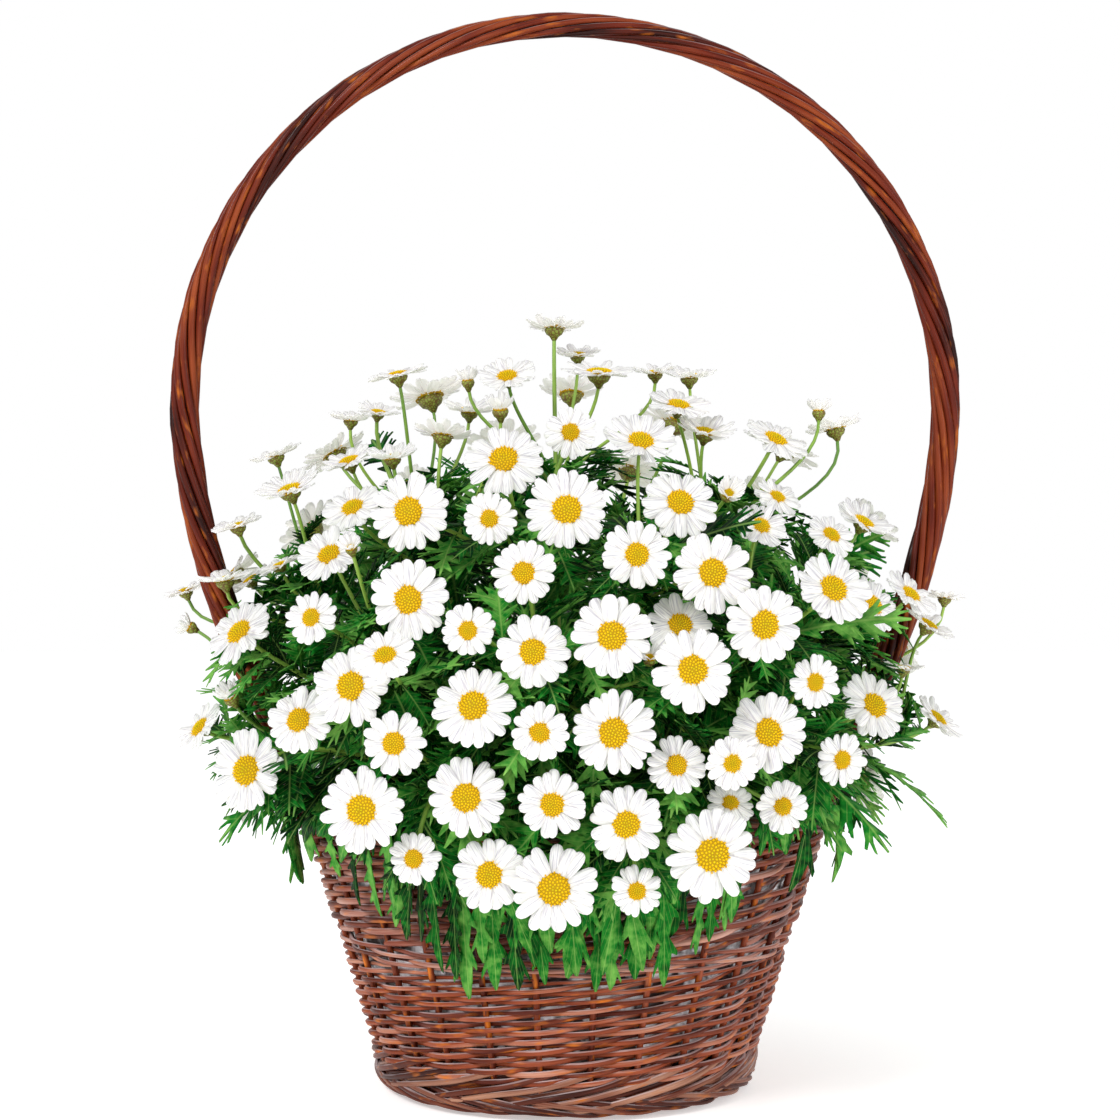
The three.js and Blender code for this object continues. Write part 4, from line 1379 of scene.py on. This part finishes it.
def lay_disc(bm, flower):
    u, v = frame_of(flower.facing, flower.roll)
    radius = flower.radius * (BUD_DISC_SHARE if flower.bud else DISC_SHARE)
    shade = discer.random()

    def dome_place(x, y, z):
        return flower.at + u * (x * radius) + v * (y * radius) + flower.facing * (z * 0.34 * radius - 0.4)

    stamp(bm, dome, dome_place, shade)
    for k in range(FLORETS):
        reach = math.sqrt((k + 0.5) / FLORETS) * 0.98
        angle = k * GOLDEN
        out = u * math.cos(angle) + v * math.sin(angle)
        lean = unit(flower.facing * 1.1 + out * reach)
        size = radius * (0.07 + 0.028 * reach) * discer.uniform(0.85, 1.1)
        centre = flower.at + out * (reach * radius) + flower.facing * (disc_height(reach, radius) - 0.1)
        side = unit(np.cross(lean, out + u * 0.01))
        other = np.cross(lean, side)

        def floret_place(x, y, z):
            return centre + side * (x * size) + other * (y * size) + lean * (z * size * 1.5)

        layer = floret.verts.layers.float["along"]
        for vert in floret.verts:
            vert[layer] = reach
        stamp(bm, floret, floret_place, shade)


dome = dome_template()
floret = floret_template()
print("dome", len(dome.faces), "faces, floret", len(floret.faces), "faces")


# %% Disc finish, and all the discs
def disc_material():
    """Packed tube flowers full of pollen, matt. The eye gets a golden yellow, greener in the middle,
    nearer orange at the rim, and olive-brown in the gaps."""
    material, tree, shader = new_material("daisy_disc")
    along = add_node(tree, "ShaderNodeAttribute", attribute_name="along").outputs["Fac"]
    shade = add_node(tree, "ShaderNodeAttribute", attribute_name="shade").outputs["Fac"]
    spots = add_node(tree, "ShaderNodeTexCoord")
    # Pollen grains and tips, drawn as coarse as 0.8 mm so that they show.
    grain = add_node(tree, "ShaderNodeTexNoise", {"Vector": spots.outputs["Object"], "Scale": 1200,
                                                  "Detail": 1})
    level = -0.05
    for pattern, share in ((along, 0.72), (grain, 0.4), (shade, 0.12)):
        level = add_node(tree, "ShaderNodeMath", {0: pattern, 1: share, 2: level},
                         operation="MULTIPLY_ADD")
    yellow = add_node(tree, "ShaderNodeValToRGB", {"Fac": level},
                      stops=((0.12, "#c9c60c"), (0.48, "#eccb06"), (0.8, "#ecbe02"),
                             (0.95, "#e2ae04"), (1, "#b08c06")))
    tree.links.new(yellow.outputs["Color"], shader.inputs["Base Color"])
    shader.inputs["Roughness"].default_value = 0.75
    shader.inputs["Specular IOR Level"].default_value = 0.2
    return material


bm = bmesh.new()
for flower in flowers:
    lay_disc(bm, flower)
finish_piece("discs", bm, disc_material(), sprays_in_cad)

# %% [markdown]
# The cup behind the petals.
#
# Small scales, green with a brown dry edge, lie over one another in a shallow cup that holds the
# petals and narrows into the stalk. A ring that is extruded four times makes the cup: it widens a
# little under the petals and is then drawn in.

# %% Cup
# Rings of (radius, height), from the petals down to the stalk.
CUP_RINGS = ((1.0, -0.05), (1.06, -0.35), (0.86, -0.75), (0.5, -1.0), (0.2, -1.5))
NECK_FROM = -0.75            # below this the cup's width goes over to the stalk's
NECK_DEEP = 0.75             # and this far down it is the stalk's
STALK_END = 1.15             # the stalk's radius there
cupper = random.Random(43)


def cup_template():
    bm = new_template()
    bmesh.ops.create_circle(bm, segments=12, radius=CUP_RINGS[0][0], cap_ends=True)
    edges = bm.edges[:]
    layer = bm.verts.layers.float["along"]
    for step, ((before, high), (radius, low)) in enumerate(zip(CUP_RINGS, CUP_RINGS[1:])):
        made = bmesh.ops.extrude_edge_only(bm, edges=edges)["geom"]
        ring = [item for item in made if isinstance(item, bmesh.types.BMVert)]
        edges = [item for item in made if isinstance(item, bmesh.types.BMEdge)
                 and all(vert in ring for vert in item.verts)]
        bmesh.ops.scale(bm, vec=(radius / before, radius / before, 1), verts=ring)
        bmesh.ops.translate(bm, vec=(0, 0, low - high), verts=ring)
        for vert in ring:
            vert[layer] = (step + 1) / (len(CUP_RINGS) - 1)
    bmesh.ops.contextual_create(bm, geom=edges)
    bmesh.ops.recalc_face_normals(bm, faces=bm.faces)
    across = bm.verts.layers.float["across"]
    for vert in bm.verts:
        vert[across] = math.atan2(vert.co.y, vert.co.x)
    return bm


def lay_cup(bm, flower):
    u, v = frame_of(flower.facing, flower.roll)
    radius = flower.radius * (0.42 if flower.bud else 0.3)
    deep = flower.radius * (0.5 if flower.bud else 0.28)

    def place(x, y, z):
        neck = min(1, max(0, (NECK_FROM - z) / NECK_DEEP))
        r = radius * (1 - neck) + neck * STALK_END / CUP_RINGS[-1][0]
        return flower.at + u * (x * r) + v * (y * r) + flower.facing * (z * deep - 0.4)

    stamp(bm, cup, place, cupper.random())


cup = cup_template()
print("cup", len(cup.faces), "faces")


# %% Cup finish, and all the cups
def cup_material():
    """Overlapping scales with thin dry edges. The eye gets olive green with brown edges in rows."""
    material, tree, shader = new_material("daisy_cup_scales")
    spots = add_node(tree, "ShaderNodeTexCoord")
    # Scales about 1.8 mm long.
    cells = add_node(tree, "ShaderNodeTexVoronoi", {"Vector": spots.outputs["Object"], "Scale": 550},
                     feature="DISTANCE_TO_EDGE")
    olive = add_node(tree, "ShaderNodeValToRGB", {"Fac": cells}, stops=((0.02, "#6b4a1e"), (0.22, "#8c9a3a")))
    tree.links.new(olive.outputs["Color"], shader.inputs["Base Color"])
    bump = add_node(tree, "ShaderNodeBump", {"Height": cells, "Strength": 0.6, "Distance": 0.0006})
    tree.links.new(bump.outputs[0], shader.inputs["Normal"])
    shader.inputs["Roughness"].default_value = 0.6
    return material


bm = bmesh.new()
for flower in flowers:
    lay_cup(bm, flower)
finish_piece("cups", bm, cup_material(), sprays_in_cad)

# %% [markdown]
# Leaves.
#
# The leaves are cut nearly to the rib into pointed lobes, deep green, a little paler along the rib
# and its side veins. A strip gives the rib, and a lobe is drawn out of an edge of it by extruding
# that edge, which splits in two where the lobe ends in two teeth. Then it is thickened like the
# petal. Small leaves fill the cushion between the stems, big ones stand on the CAD's own leaves,
# and broad ones hang over the rim.

# %% Leaf plans
# Lengths are parts of the leaf's length. A rib row is (along, half width). A lobe grows from the
# rib row with its number: elbow (across, along, half width), if it has one, and then its teeth.
SMALL_LEAF = {
    "rib": ((0, 0.02), (0.22, 0.03), (0.38, 0.035), (0.54, 0.035), (0.7, 0.03), (0.86, 0.028),
            (1, 0.006)),
    "lobes": {1: (None, (0.15, 0.43)), 2: (None, (0.24, 0.62)), 3: (None, (0.25, 0.79)),
              4: (None, (0.17, 0.94))},
}
BIG_LEAF = {
    "rib": ((0, 0.02), (0.16, 0.026), (0.28, 0.035), (0.38, 0.035), (0.49, 0.042), (0.58, 0.035),
            (0.69, 0.042), (0.78, 0.035), (0.87, 0.03), (1, 0.008)),
    "lobes": {1: (None, (0.11, 0.3)), 3: ((0.14, 0.52, 0.028), (0.23, 0.535), (0.2, 0.61)),
              5: ((0.14, 0.72, 0.03), (0.24, 0.74), (0.19, 0.82)),
              7: ((0.09, 0.89, 0.02), (0.16, 0.92), (0.11, 0.97))},
}
BROAD_LEAF = {
    "rib": ((0, 0.04), (0.1, 0.04), (0.2, 0.05), (0.3, 0.06), (0.41, 0.12), (0.47, 0.18), (0.53, 0.1),
            (0.61, 0.21), (0.68, 0.12), (0.76, 0.22), (0.83, 0.12), (0.9, 0.19), (0.95, 0.14), (1, 0.03)),
    "lobes": {4: (None, (0.32, 0.47)), 6: (None, (0.38, 0.615)), 8: (None, (0.38, 0.77)),
              10: (None, (0.34, 0.915))},
}
BLADE = 0.3                  # where the broad leaf's stalk ends and its blade begins
print(len(BROAD_LEAF["rib"]), "rows in the broadest leaf")


# %% Leaf templates
TOOTH = 0.008                # half the width of a tooth's blunt end


def draw_out(bm, edge, low, high):
    """Extrudes an edge and puts the lower of its new points at low, the upper at high."""
    made = bmesh.ops.extrude_edge_only(bm, edges=[edge])["geom"]
    ends = [item for item in made if isinstance(item, bmesh.types.BMVert)]
    ends.sort(key=lambda vert: vert.co.y)
    for vert, (x, y) in zip(ends, (low, high)):
        vert.co = (x, y, 0)
    return next(edge for edge in ends[0].link_edges if edge.other_vert(ends[0]) == ends[1])


def draw_lobe(bm, edge, way, elbow, teeth):
    """Grows a lobe from an edge of the rib to the side that way says, 1 or -1."""
    edges = [edge]
    if elbow:
        x, y, half = elbow
        edge = draw_out(bm, edge, (way * (x + half), y - half), (way * (x - half), y + half))
        edges = [item for item in bmesh.ops.subdivide_edges(bm, edges=[edge], cuts=1)["geom_split"]
                 if isinstance(item, bmesh.types.BMEdge)]
        edges.sort(key=lambda item: sum(vert.co.y for vert in item.verts))
    for edge, (x, y) in zip(edges, teeth):
        draw_out(bm, edge, (way * x, y - TOOTH), (way * (x - TOOTH), y + TOOTH))


def leaf_template(plan):
    bm = new_template()
    rows = plan["rib"]
    last = len(rows) - 1
    bmesh.ops.create_grid(bm, x_segments=2, y_segments=last, size=0.5)
    for vert in bm.verts:
        height, half = rows[round((vert.co.y + 0.5) * last)]
        vert.co = (2 * vert.co.x * half, height, 0)
    for row, (elbow, *teeth) in plan["lobes"].items():
        low, high = rows[row][0], rows[row + 1][0]
        for way in (-1, 1):
            edge = next(edge for edge in bm.edges if edge.is_boundary and all(
                vert.co.x * way > 0 and low - 0.001 < vert.co.y < high + 0.001
                for vert in edge.verts))
            draw_lobe(bm, edge, way, elbow, teeth)
    keep_places(bm)
    return thicken(bm)


small_leaf = leaf_template(SMALL_LEAF)
big_leaf = leaf_template(BIG_LEAF)
broad_leaf = leaf_template(BROAD_LEAF)
for title, made in (("small", small_leaf), ("big", big_leaf), ("broad", broad_leaf)):
    print(title, "leaf", len(made.faces), "faces")


# %% Bend a leaf along its rib
def leaf_place(curve, face, length, plump, thick, fold, slant=0.0, curl=0.0, twist=0.0, stalk=0.0):
    """Points of the flat leaf go along the curve. The halves fold up from the rib or down, the
    lobes slant forward on one side and back on the other, and their tips curl over. If a share of
    the curve is given as stalk, the part of the leaf below its blade is stretched over it."""
    rows = {}

    def frame_at(y):
        if y not in rows:
            t = min(max(y, 0), 1)
            past = y - t
            if stalk:
                t = t * stalk / BLADE if t < BLADE else 1 - (1 - t) * (1 - stalk) / (1 - BLADE)
            along = curve.tangent(t)
            side = unit(np.cross(along, face))
            over = np.cross(side, along)
            turn = twist * y
            rows[y] = (curve.point(t) + along * past * length,
                       side * math.cos(turn) + over * math.sin(turn),
                       over * math.cos(turn) - side * math.sin(turn))
        return rows[y]

    def place(x, y, z):
        rib, side, over = frame_at(round(y + slant * x, 4))
        reach = x * length * plump
        lift = fold * abs(reach) - curl * reach * reach / length
        return rib + side * reach + over * (lift + z * thick)

    return place


print("a broad leaf's blade takes", 1 - BLADE, "of its length")

# %% Where small leaves may grow
heads_at = np.array([flower.at for flower in flowers])
heads_facing = np.array([flower.facing for flower in flowers])
heads_radius = np.array([flower.radius for flower in flowers])


def hides_or_cuts_a_head(points):
    """True if a leaf would cut through a flower or stand before its face."""
    gap = points[:, None, :] - heads_at[None, :, :]
    height = (gap * heads_facing[None]).sum(2)
    beside = np.sqrt(np.maximum((gap ** 2).sum(2) - height ** 2, 0))
    near = (beside < heads_radius[None] * 1.02) & (height > -5) & (height < 26)
    return bool(near.any())


LEAFY = {"radius": 196, "up": 126}       # above the middle, leaves fill less than the flowers do


def in_leafy_part(points):
    """True if a leaf stays where leaves are. Bare stalks rise out of them with the top flowers."""
    high = points[:, 2] > DOME["z"]
    up = np.where(high, LEAFY["up"], DOME["down"])
    wide = np.where(high, LEAFY["radius"], DOME["radius"])
    x, y, z = points.T
    return bool(((x ** 2 + y ** 2) / wide ** 2 + ((z - DOME["z"]) / up) ** 2 < 0.98).all())


def clear_of_basket(points):
    balls = np.hstack([points, np.full((len(points), 1), 1.0)])
    return basket_room(balls) > 0.5


print("leaves reach", DOME["z"] + LEAFY["up"], "mm up")

# %% Small leaves along a stem
SAMPLES = (0.2, 0.4, 0.6, 0.8, 1.0)      # where a leaf's rib is tested for room
ATTEMPTS = 4


def curve_length(curve):
    return sum(math.dist(curve.point(k / 8), curve.point((k + 1) / 8)) for k in range(8))


def small_leaf_on(curve, t, turn, length):
    """A leaf from a stem at t, turned about it, or None if there is no room."""
    start = curve.point(t)
    along = curve.tangent(t)
    u, v = frame_of(along, turn)
    way = unit(along * grower.uniform(0.35, 0.9) + u)
    sag = grower.uniform(0.02, 0.2)
    tip = start + way * length - UP * (sag * length)
    rib = Bezier(start, start + way * length * 0.5 + UP * (0.04 * length), tip)
    points = np.array([rib.point(s) for s in SAMPLES])
    if hides_or_cuts_a_head(points) or not in_leafy_part(points) or not clear_of_basket(points[1:]):
        return None
    face = unit(UP * 0.9 + unit(start - HEART) * 0.7 + v * grower.uniform(-0.5, 0.5))
    if abs(face @ way) > 0.95:
        return None
    return rib, face


def grow_small_leaves(curve, first, last, spacing, sizes):
    """Leaves round a stem by the golden angle. One without room is turned, shortened and tried again."""
    made = []
    count = max(2, int(curve_length(curve) * (last - first) / spacing))
    turn = grower.uniform(0, TURN)
    for k in range(count):
        t = first + (last - first) * (k + grower.uniform(0.1, 0.9)) / count
        turn += GOLDEN
        size = grower.uniform(*sizes) * (1 - 0.35 * t)
        for attempt in range(ATTEMPTS):
            shorter = size * (1 - 0.12 * attempt)
            leaf = small_leaf_on(curve, t, turn + 1.3 * attempt, shorter)
            if leaf:
                made.append((leaf, shorter))
                break
    return made


print("a small leaf is tested at", len(SAMPLES), "points")


# %% Leaf finish
def leaf_material():
    """Cut leaves with a dull skin. The eye gets deep green, lighter at the tips and along the veins."""
    material, tree, shader = new_material("daisy_leaf")
    across = add_node(tree, "ShaderNodeAttribute", attribute_name="across").outputs["Fac"]
    along = add_node(tree, "ShaderNodeAttribute", attribute_name="along").outputs["Fac"]
    shade = add_node(tree, "ShaderNodeAttribute", attribute_name="shade").outputs["Fac"]
    spots = add_node(tree, "ShaderNodeTexCoord")
    # Mottling some 5 mm wide.
    mottle = add_node(tree, "ShaderNodeTexNoise", {"Vector": spots.outputs["Object"], "Scale": 200,
                                                   "Detail": 3})
    level = -0.65
    for pattern, share in ((mottle, 1.1), (along, 0.25), (shade, 0.8)):
        level = add_node(tree, "ShaderNodeMath", {0: pattern, 1: share, 2: level},
                         operation="MULTIPLY_ADD")
    green = add_node(tree, "ShaderNodeValToRGB", {"Fac": level},
                     stops=((0.1, "#00260a"), (0.5, "#137420"), (1, "#7ab852")))
    # The rib is a fiftieth of the leaf's length wide. Side veins leave it forwards, some 5 mm apart
    # on a big leaf.
    beside = add_node(tree, "ShaderNodeMath", {0: across}, operation="ABSOLUTE")
    on_rib = add_node(tree, "ShaderNodeMapRange", {"Value": beside, "From Min": 0.0, "From Max": 0.018,
                                                   "To Min": 0.5, "To Max": 0.0})
    back = add_node(tree, "ShaderNodeMath", {0: beside, 1: -0.8, 2: along}, operation="MULTIPLY_ADD")
    wave = add_node(tree, "ShaderNodeMath", {0: back, 1: 0.034}, operation="PINGPONG")
    on_vein = add_node(tree, "ShaderNodeMapRange", {"Value": wave, "From Min": 0.0, "From Max": 0.007,
                                                    "To Min": 0.25, "To Max": 0.0})
    veins = add_node(tree, "ShaderNodeMath", {0: on_rib, 1: on_vein}, operation="MAXIMUM")
    ribbed = add_node(tree, "ShaderNodeMix", {"Factor": veins, 6: green, 7: linear("#a0c86a")},
                      data_type="RGBA")
    tree.links.new(ribbed.outputs[2], shader.inputs["Base Color"])
    relief = add_node(tree, "ShaderNodeMath", {0: veins, 1: -1.0, 2: mottle}, operation="MULTIPLY_ADD")
    bump = add_node(tree, "ShaderNodeBump", {"Height": relief, "Strength": 0.5, "Distance": 0.0008})
    tree.links.new(bump.outputs[0], shader.inputs["Normal"])
    shader.inputs["Roughness"].default_value = 0.55
    shader.inputs["Specular IOR Level"].default_value = 0.05
    return material


leaf_finish = leaf_material()
print("leaf finish", leaf_finish.name)

# %% All the small leaves, in two pieces
small_leaves = []
for curve in stems:
    small_leaves += grow_small_leaves(curve, first=0.16, last=0.92, spacing=4.0, sizes=(38, 62))
    small_leaves += grow_small_leaves(curve, first=0.5, last=0.96, spacing=6.0, sizes=(42, 62))
for curve in stalks:
    small_leaves += grow_small_leaves(curve, first=0.08, last=0.84, spacing=5.6, sizes=(34, 52))
print(len(small_leaves), "small leaves")
middle = len(small_leaves) // 2
for name, group in (("leaves_low", small_leaves[:middle]), ("leaves_high", small_leaves[middle:])):
    bm = bmesh.new()
    for (rib, face), size in group:
        place = leaf_place(rib, face, size, grower.uniform(0.85, 1.2), 0.4, grower.uniform(0.0, 0.4))
        stamp(bm, small_leaf, place, grower.random())
    finish_piece(name, bm, leaf_finish, sprays_in_cad)

# %% The big leaves, on the solids' own
LOW_TIP = 135                # a leaf whose tip hangs below this is cut back, to show the weaving
CUT_BACK = 0.8


def first_part(curve, share):
    """The curve up to this share of it, as a curve of its own."""
    start, bend, _ = curve.points
    return Bezier(start, start + (bend - start) * share, curve.point(share))


bm = bmesh.new()
for curve, face, length, plump in leaves:
    share = CUT_BACK if curve.points[2][2] < LOW_TIP else 1
    length *= share
    place = leaf_place(first_part(curve, share), face, length, plump, 0.6, grower.uniform(-0.15, 0.25),
                       slant=grower.uniform(-0.3, 0.3), curl=grower.uniform(-0.4, 1.0))
    stamp(bm, big_leaf, place, grower.random())
finish_piece("big_leaves", bm, leaf_finish, sprays_in_cad)

# %% [markdown]
# Leaves that hang over the rim.
#
# In front the biggest leaves lie over the rim and hang down the weaving, broad and cut, on long
# stalks. Their tips and the places where they come out from under the flowers were sighted like
# the flowers. Shorter ones fill in above them. Round the sides and the back they are set by rule,
# fewer and shorter, so that the basket looks grown over from every side and its rim still shows.

# %% Hanging leaves
# Each is (tip across, tip up, root across, width in millimetres).
HANGING = (
    (-53, 44, -55, 17), (-60, 55, -58, 13), (-38, 49, -40, 16), (-26, 49, -30, 15), (-45, 64, -47, 13),
    (-11, 52, -20, 14), (4, 65, -1, 12), (17, 48, 22, 14), (25, 49, 28, 12), (39, 55, 38, 18),
    (47, 66, 44, 13), (55, 51, 50, 14), (73, 69, 73, 12), (80, 76, 76, 10), (89, 82, 81, 12),
    (94, 90, 91, 9), (-68, 59, -72, 13), (-80, 76, -74, 14), (-88, 77, -75, 13), (-94, 84, -79, 13),
    (-92, 97, -86, 12), (-125, 112, -124, 8), (-114, 96, -109, 12), (-102, 90, -105, 12),
)
FILLERS = 26                 # shorter leaves in front, above the sighted ones
RIM_LEAVES = 34              # leaves round the sides and the back
BROAD_REACH = 0.38           # the template's half width
ROOT_UP = 120                # the height that the roots' places were sighted at
FRONT = math.radians(270)
FRONT_HALF = math.radians(48)


def on_wall(across, up, proud):
    """The point on the wall, or so far proud of it, that is sighted at (across, up)."""
    y = -130.0
    for _ in range(8):
        near = (y - EYE["y"]) / -EYE["y"]
        x = EYE["x"] + (across - EYE["x"]) * near
        z = EYE["z"] + (up - EYE["z"]) * near
        r = wall_radius(z) + proud
        y = -math.sqrt(max(r * r - x * x, 0))
    return vec(x, y, z)


def hanging_curve(tip, bearing, high):
    """From under the flowers over the rim and down to the tip."""
    out = vec(math.cos(bearing), math.sin(bearing), 0)
    start = out * 140 + UP * high
    over = out * 164 + UP * (high - 2)
    return Bezier(start, over, tip)


def hangs_by_rule(bearing, low, high):
    """A hanging leaf at this bearing whose tip is drawn between two heights."""
    slant = grower.uniform(-0.16, 0.16)
    height = grower.uniform(low, high)
    reach = wall_radius(height) + grower.uniform(7, 16)
    tip = vec(reach * math.cos(bearing + slant), reach * math.sin(bearing + slant), height)
    return hanging_curve(tip, bearing, grower.uniform(162, 176)), grower.uniform(14, 22)


hanging = []
for across, up, root_across, width in HANGING:
    tip = on_wall(across, up, grower.uniform(5, 10))
    root = on_wall(root_across, ROOT_UP, 4.5)
    bearing = math.atan2(root[1], root[0])
    hanging.append((hanging_curve(tip, bearing, grower.uniform(163, 172)), width))
for k in range(FILLERS):
    off = FRONT_HALF * (2 * (k + grower.random()) / FILLERS - 1)
    lowest = 66 + 56 * abs(off) / FRONT_HALF
    hanging.append(hangs_by_rule(FRONT + off, lowest, lowest + 34))
for k in range(RIM_LEAVES):
    bearing = FRONT + FRONT_HALF + (TURN - 2 * FRONT_HALF) * (k + grower.uniform(0.1, 0.9)) / RIM_LEAVES
    hanging.append(hangs_by_rule(bearing, 108, 146))
print(len(hanging), "leaves hang over the rim")

# %% Stamp the hanging leaves
bm = bmesh.new()
for curve, width in hanging:
    out = unit(vec(curve.points[2][0], curve.points[2][1], 0))
    length = curve_length(curve)
    plump = width / (2 * BROAD_REACH * length)
    stalk = 1 - grower.uniform(2.8, 4.4) * width / length
    place = leaf_place(curve, unit(out + UP * 0.3), length, plump, 0.6, grower.uniform(-0.1, 0.5),
                       slant=grower.uniform(-0.12, 0.12), curl=grower.uniform(-2, 2),
                       twist=grower.uniform(-0.5, 0.5), stalk=stalk)
    stamp(bm, broad_leaf, place, grower.uniform(0, 0.8))
finish_piece("hanging_leaves", bm, leaf_finish, sprays_in_cad)

# %% [markdown]
# The film and the compost.
#
# A grey planting film lines the basket. Between the rods it shows painted glints with painted
# shade between them. The compost under the stems is dark peat with crumbs. Both keep their CAD
# shape and get a finish.


# %% Film and compost
def film_material():
    """Pressed polythene film, silver-grey and shallowly wrinkled. Its colour is painted light: pale
    patches for glints, with painted shade between them, dark brown where the film lies in the
    basket's shade."""
    material, tree, shader = new_material("polythene_film")
    spots = add_node(tree, "ShaderNodeTexCoord")
    # Wrinkles about 12 mm apart. The same noise lays out the painted glints and the painted shade.
    wrinkles_and_painted_light = add_node(tree, "ShaderNodeTexNoise", {"Vector": spots.outputs["Object"], "Scale": 85,
                                                     "Detail": 3})
    pale = add_node(tree, "ShaderNodeValToRGB", {"Fac": wrinkles_and_painted_light},
                    stops=((0.48, "#33221f"), (0.6, "#f8f6fa")))
    tree.links.new(pale.outputs["Color"], shader.inputs["Base Color"])
    bump = add_node(tree, "ShaderNodeBump", {"Height": wrinkles_and_painted_light, "Strength": 0.8, "Distance": 0.003})
    tree.links.new(bump.outputs[0], shader.inputs["Normal"])
    shader.inputs["Roughness"].default_value = 0.3
    return material


def compost_material():
    """Damp peat compost. The eye gets near-black crumbs with brown fibres."""
    material, tree, shader = new_material("peat_compost")
    spots = add_node(tree, "ShaderNodeTexCoord")
    # Crumbs about 3 mm wide.
    crumbs = add_node(tree, "ShaderNodeTexVoronoi", {"Vector": spots.outputs["Object"], "Scale": 330})
    fine = add_node(tree, "ShaderNodeTexNoise", {"Vector": spots.outputs["Object"], "Scale": 900,
                                                 "Detail": 3})
    dark = add_node(tree, "ShaderNodeValToRGB", {"Fac": fine}, stops=((0.35, "#17100b"), (0.75, "#4a3424")))
    tree.links.new(dark.outputs["Color"], shader.inputs["Base Color"])
    bump = add_node(tree, "ShaderNodeBump", {"Height": crumbs, "Strength": 1.0, "Distance": 0.003})
    tree.links.new(bump.outputs[0], shader.inputs["Normal"])
    shader.inputs["Roughness"].default_value = 0.95
    return material


def dress(node, material):
    """Gives a CAD node that stays in view its finish."""
    nodes[node].data.materials.clear()
    nodes[node].data.materials.append(material)


dress("liner", film_material())
dress("soil", compost_material())
print("film and compost dressed")
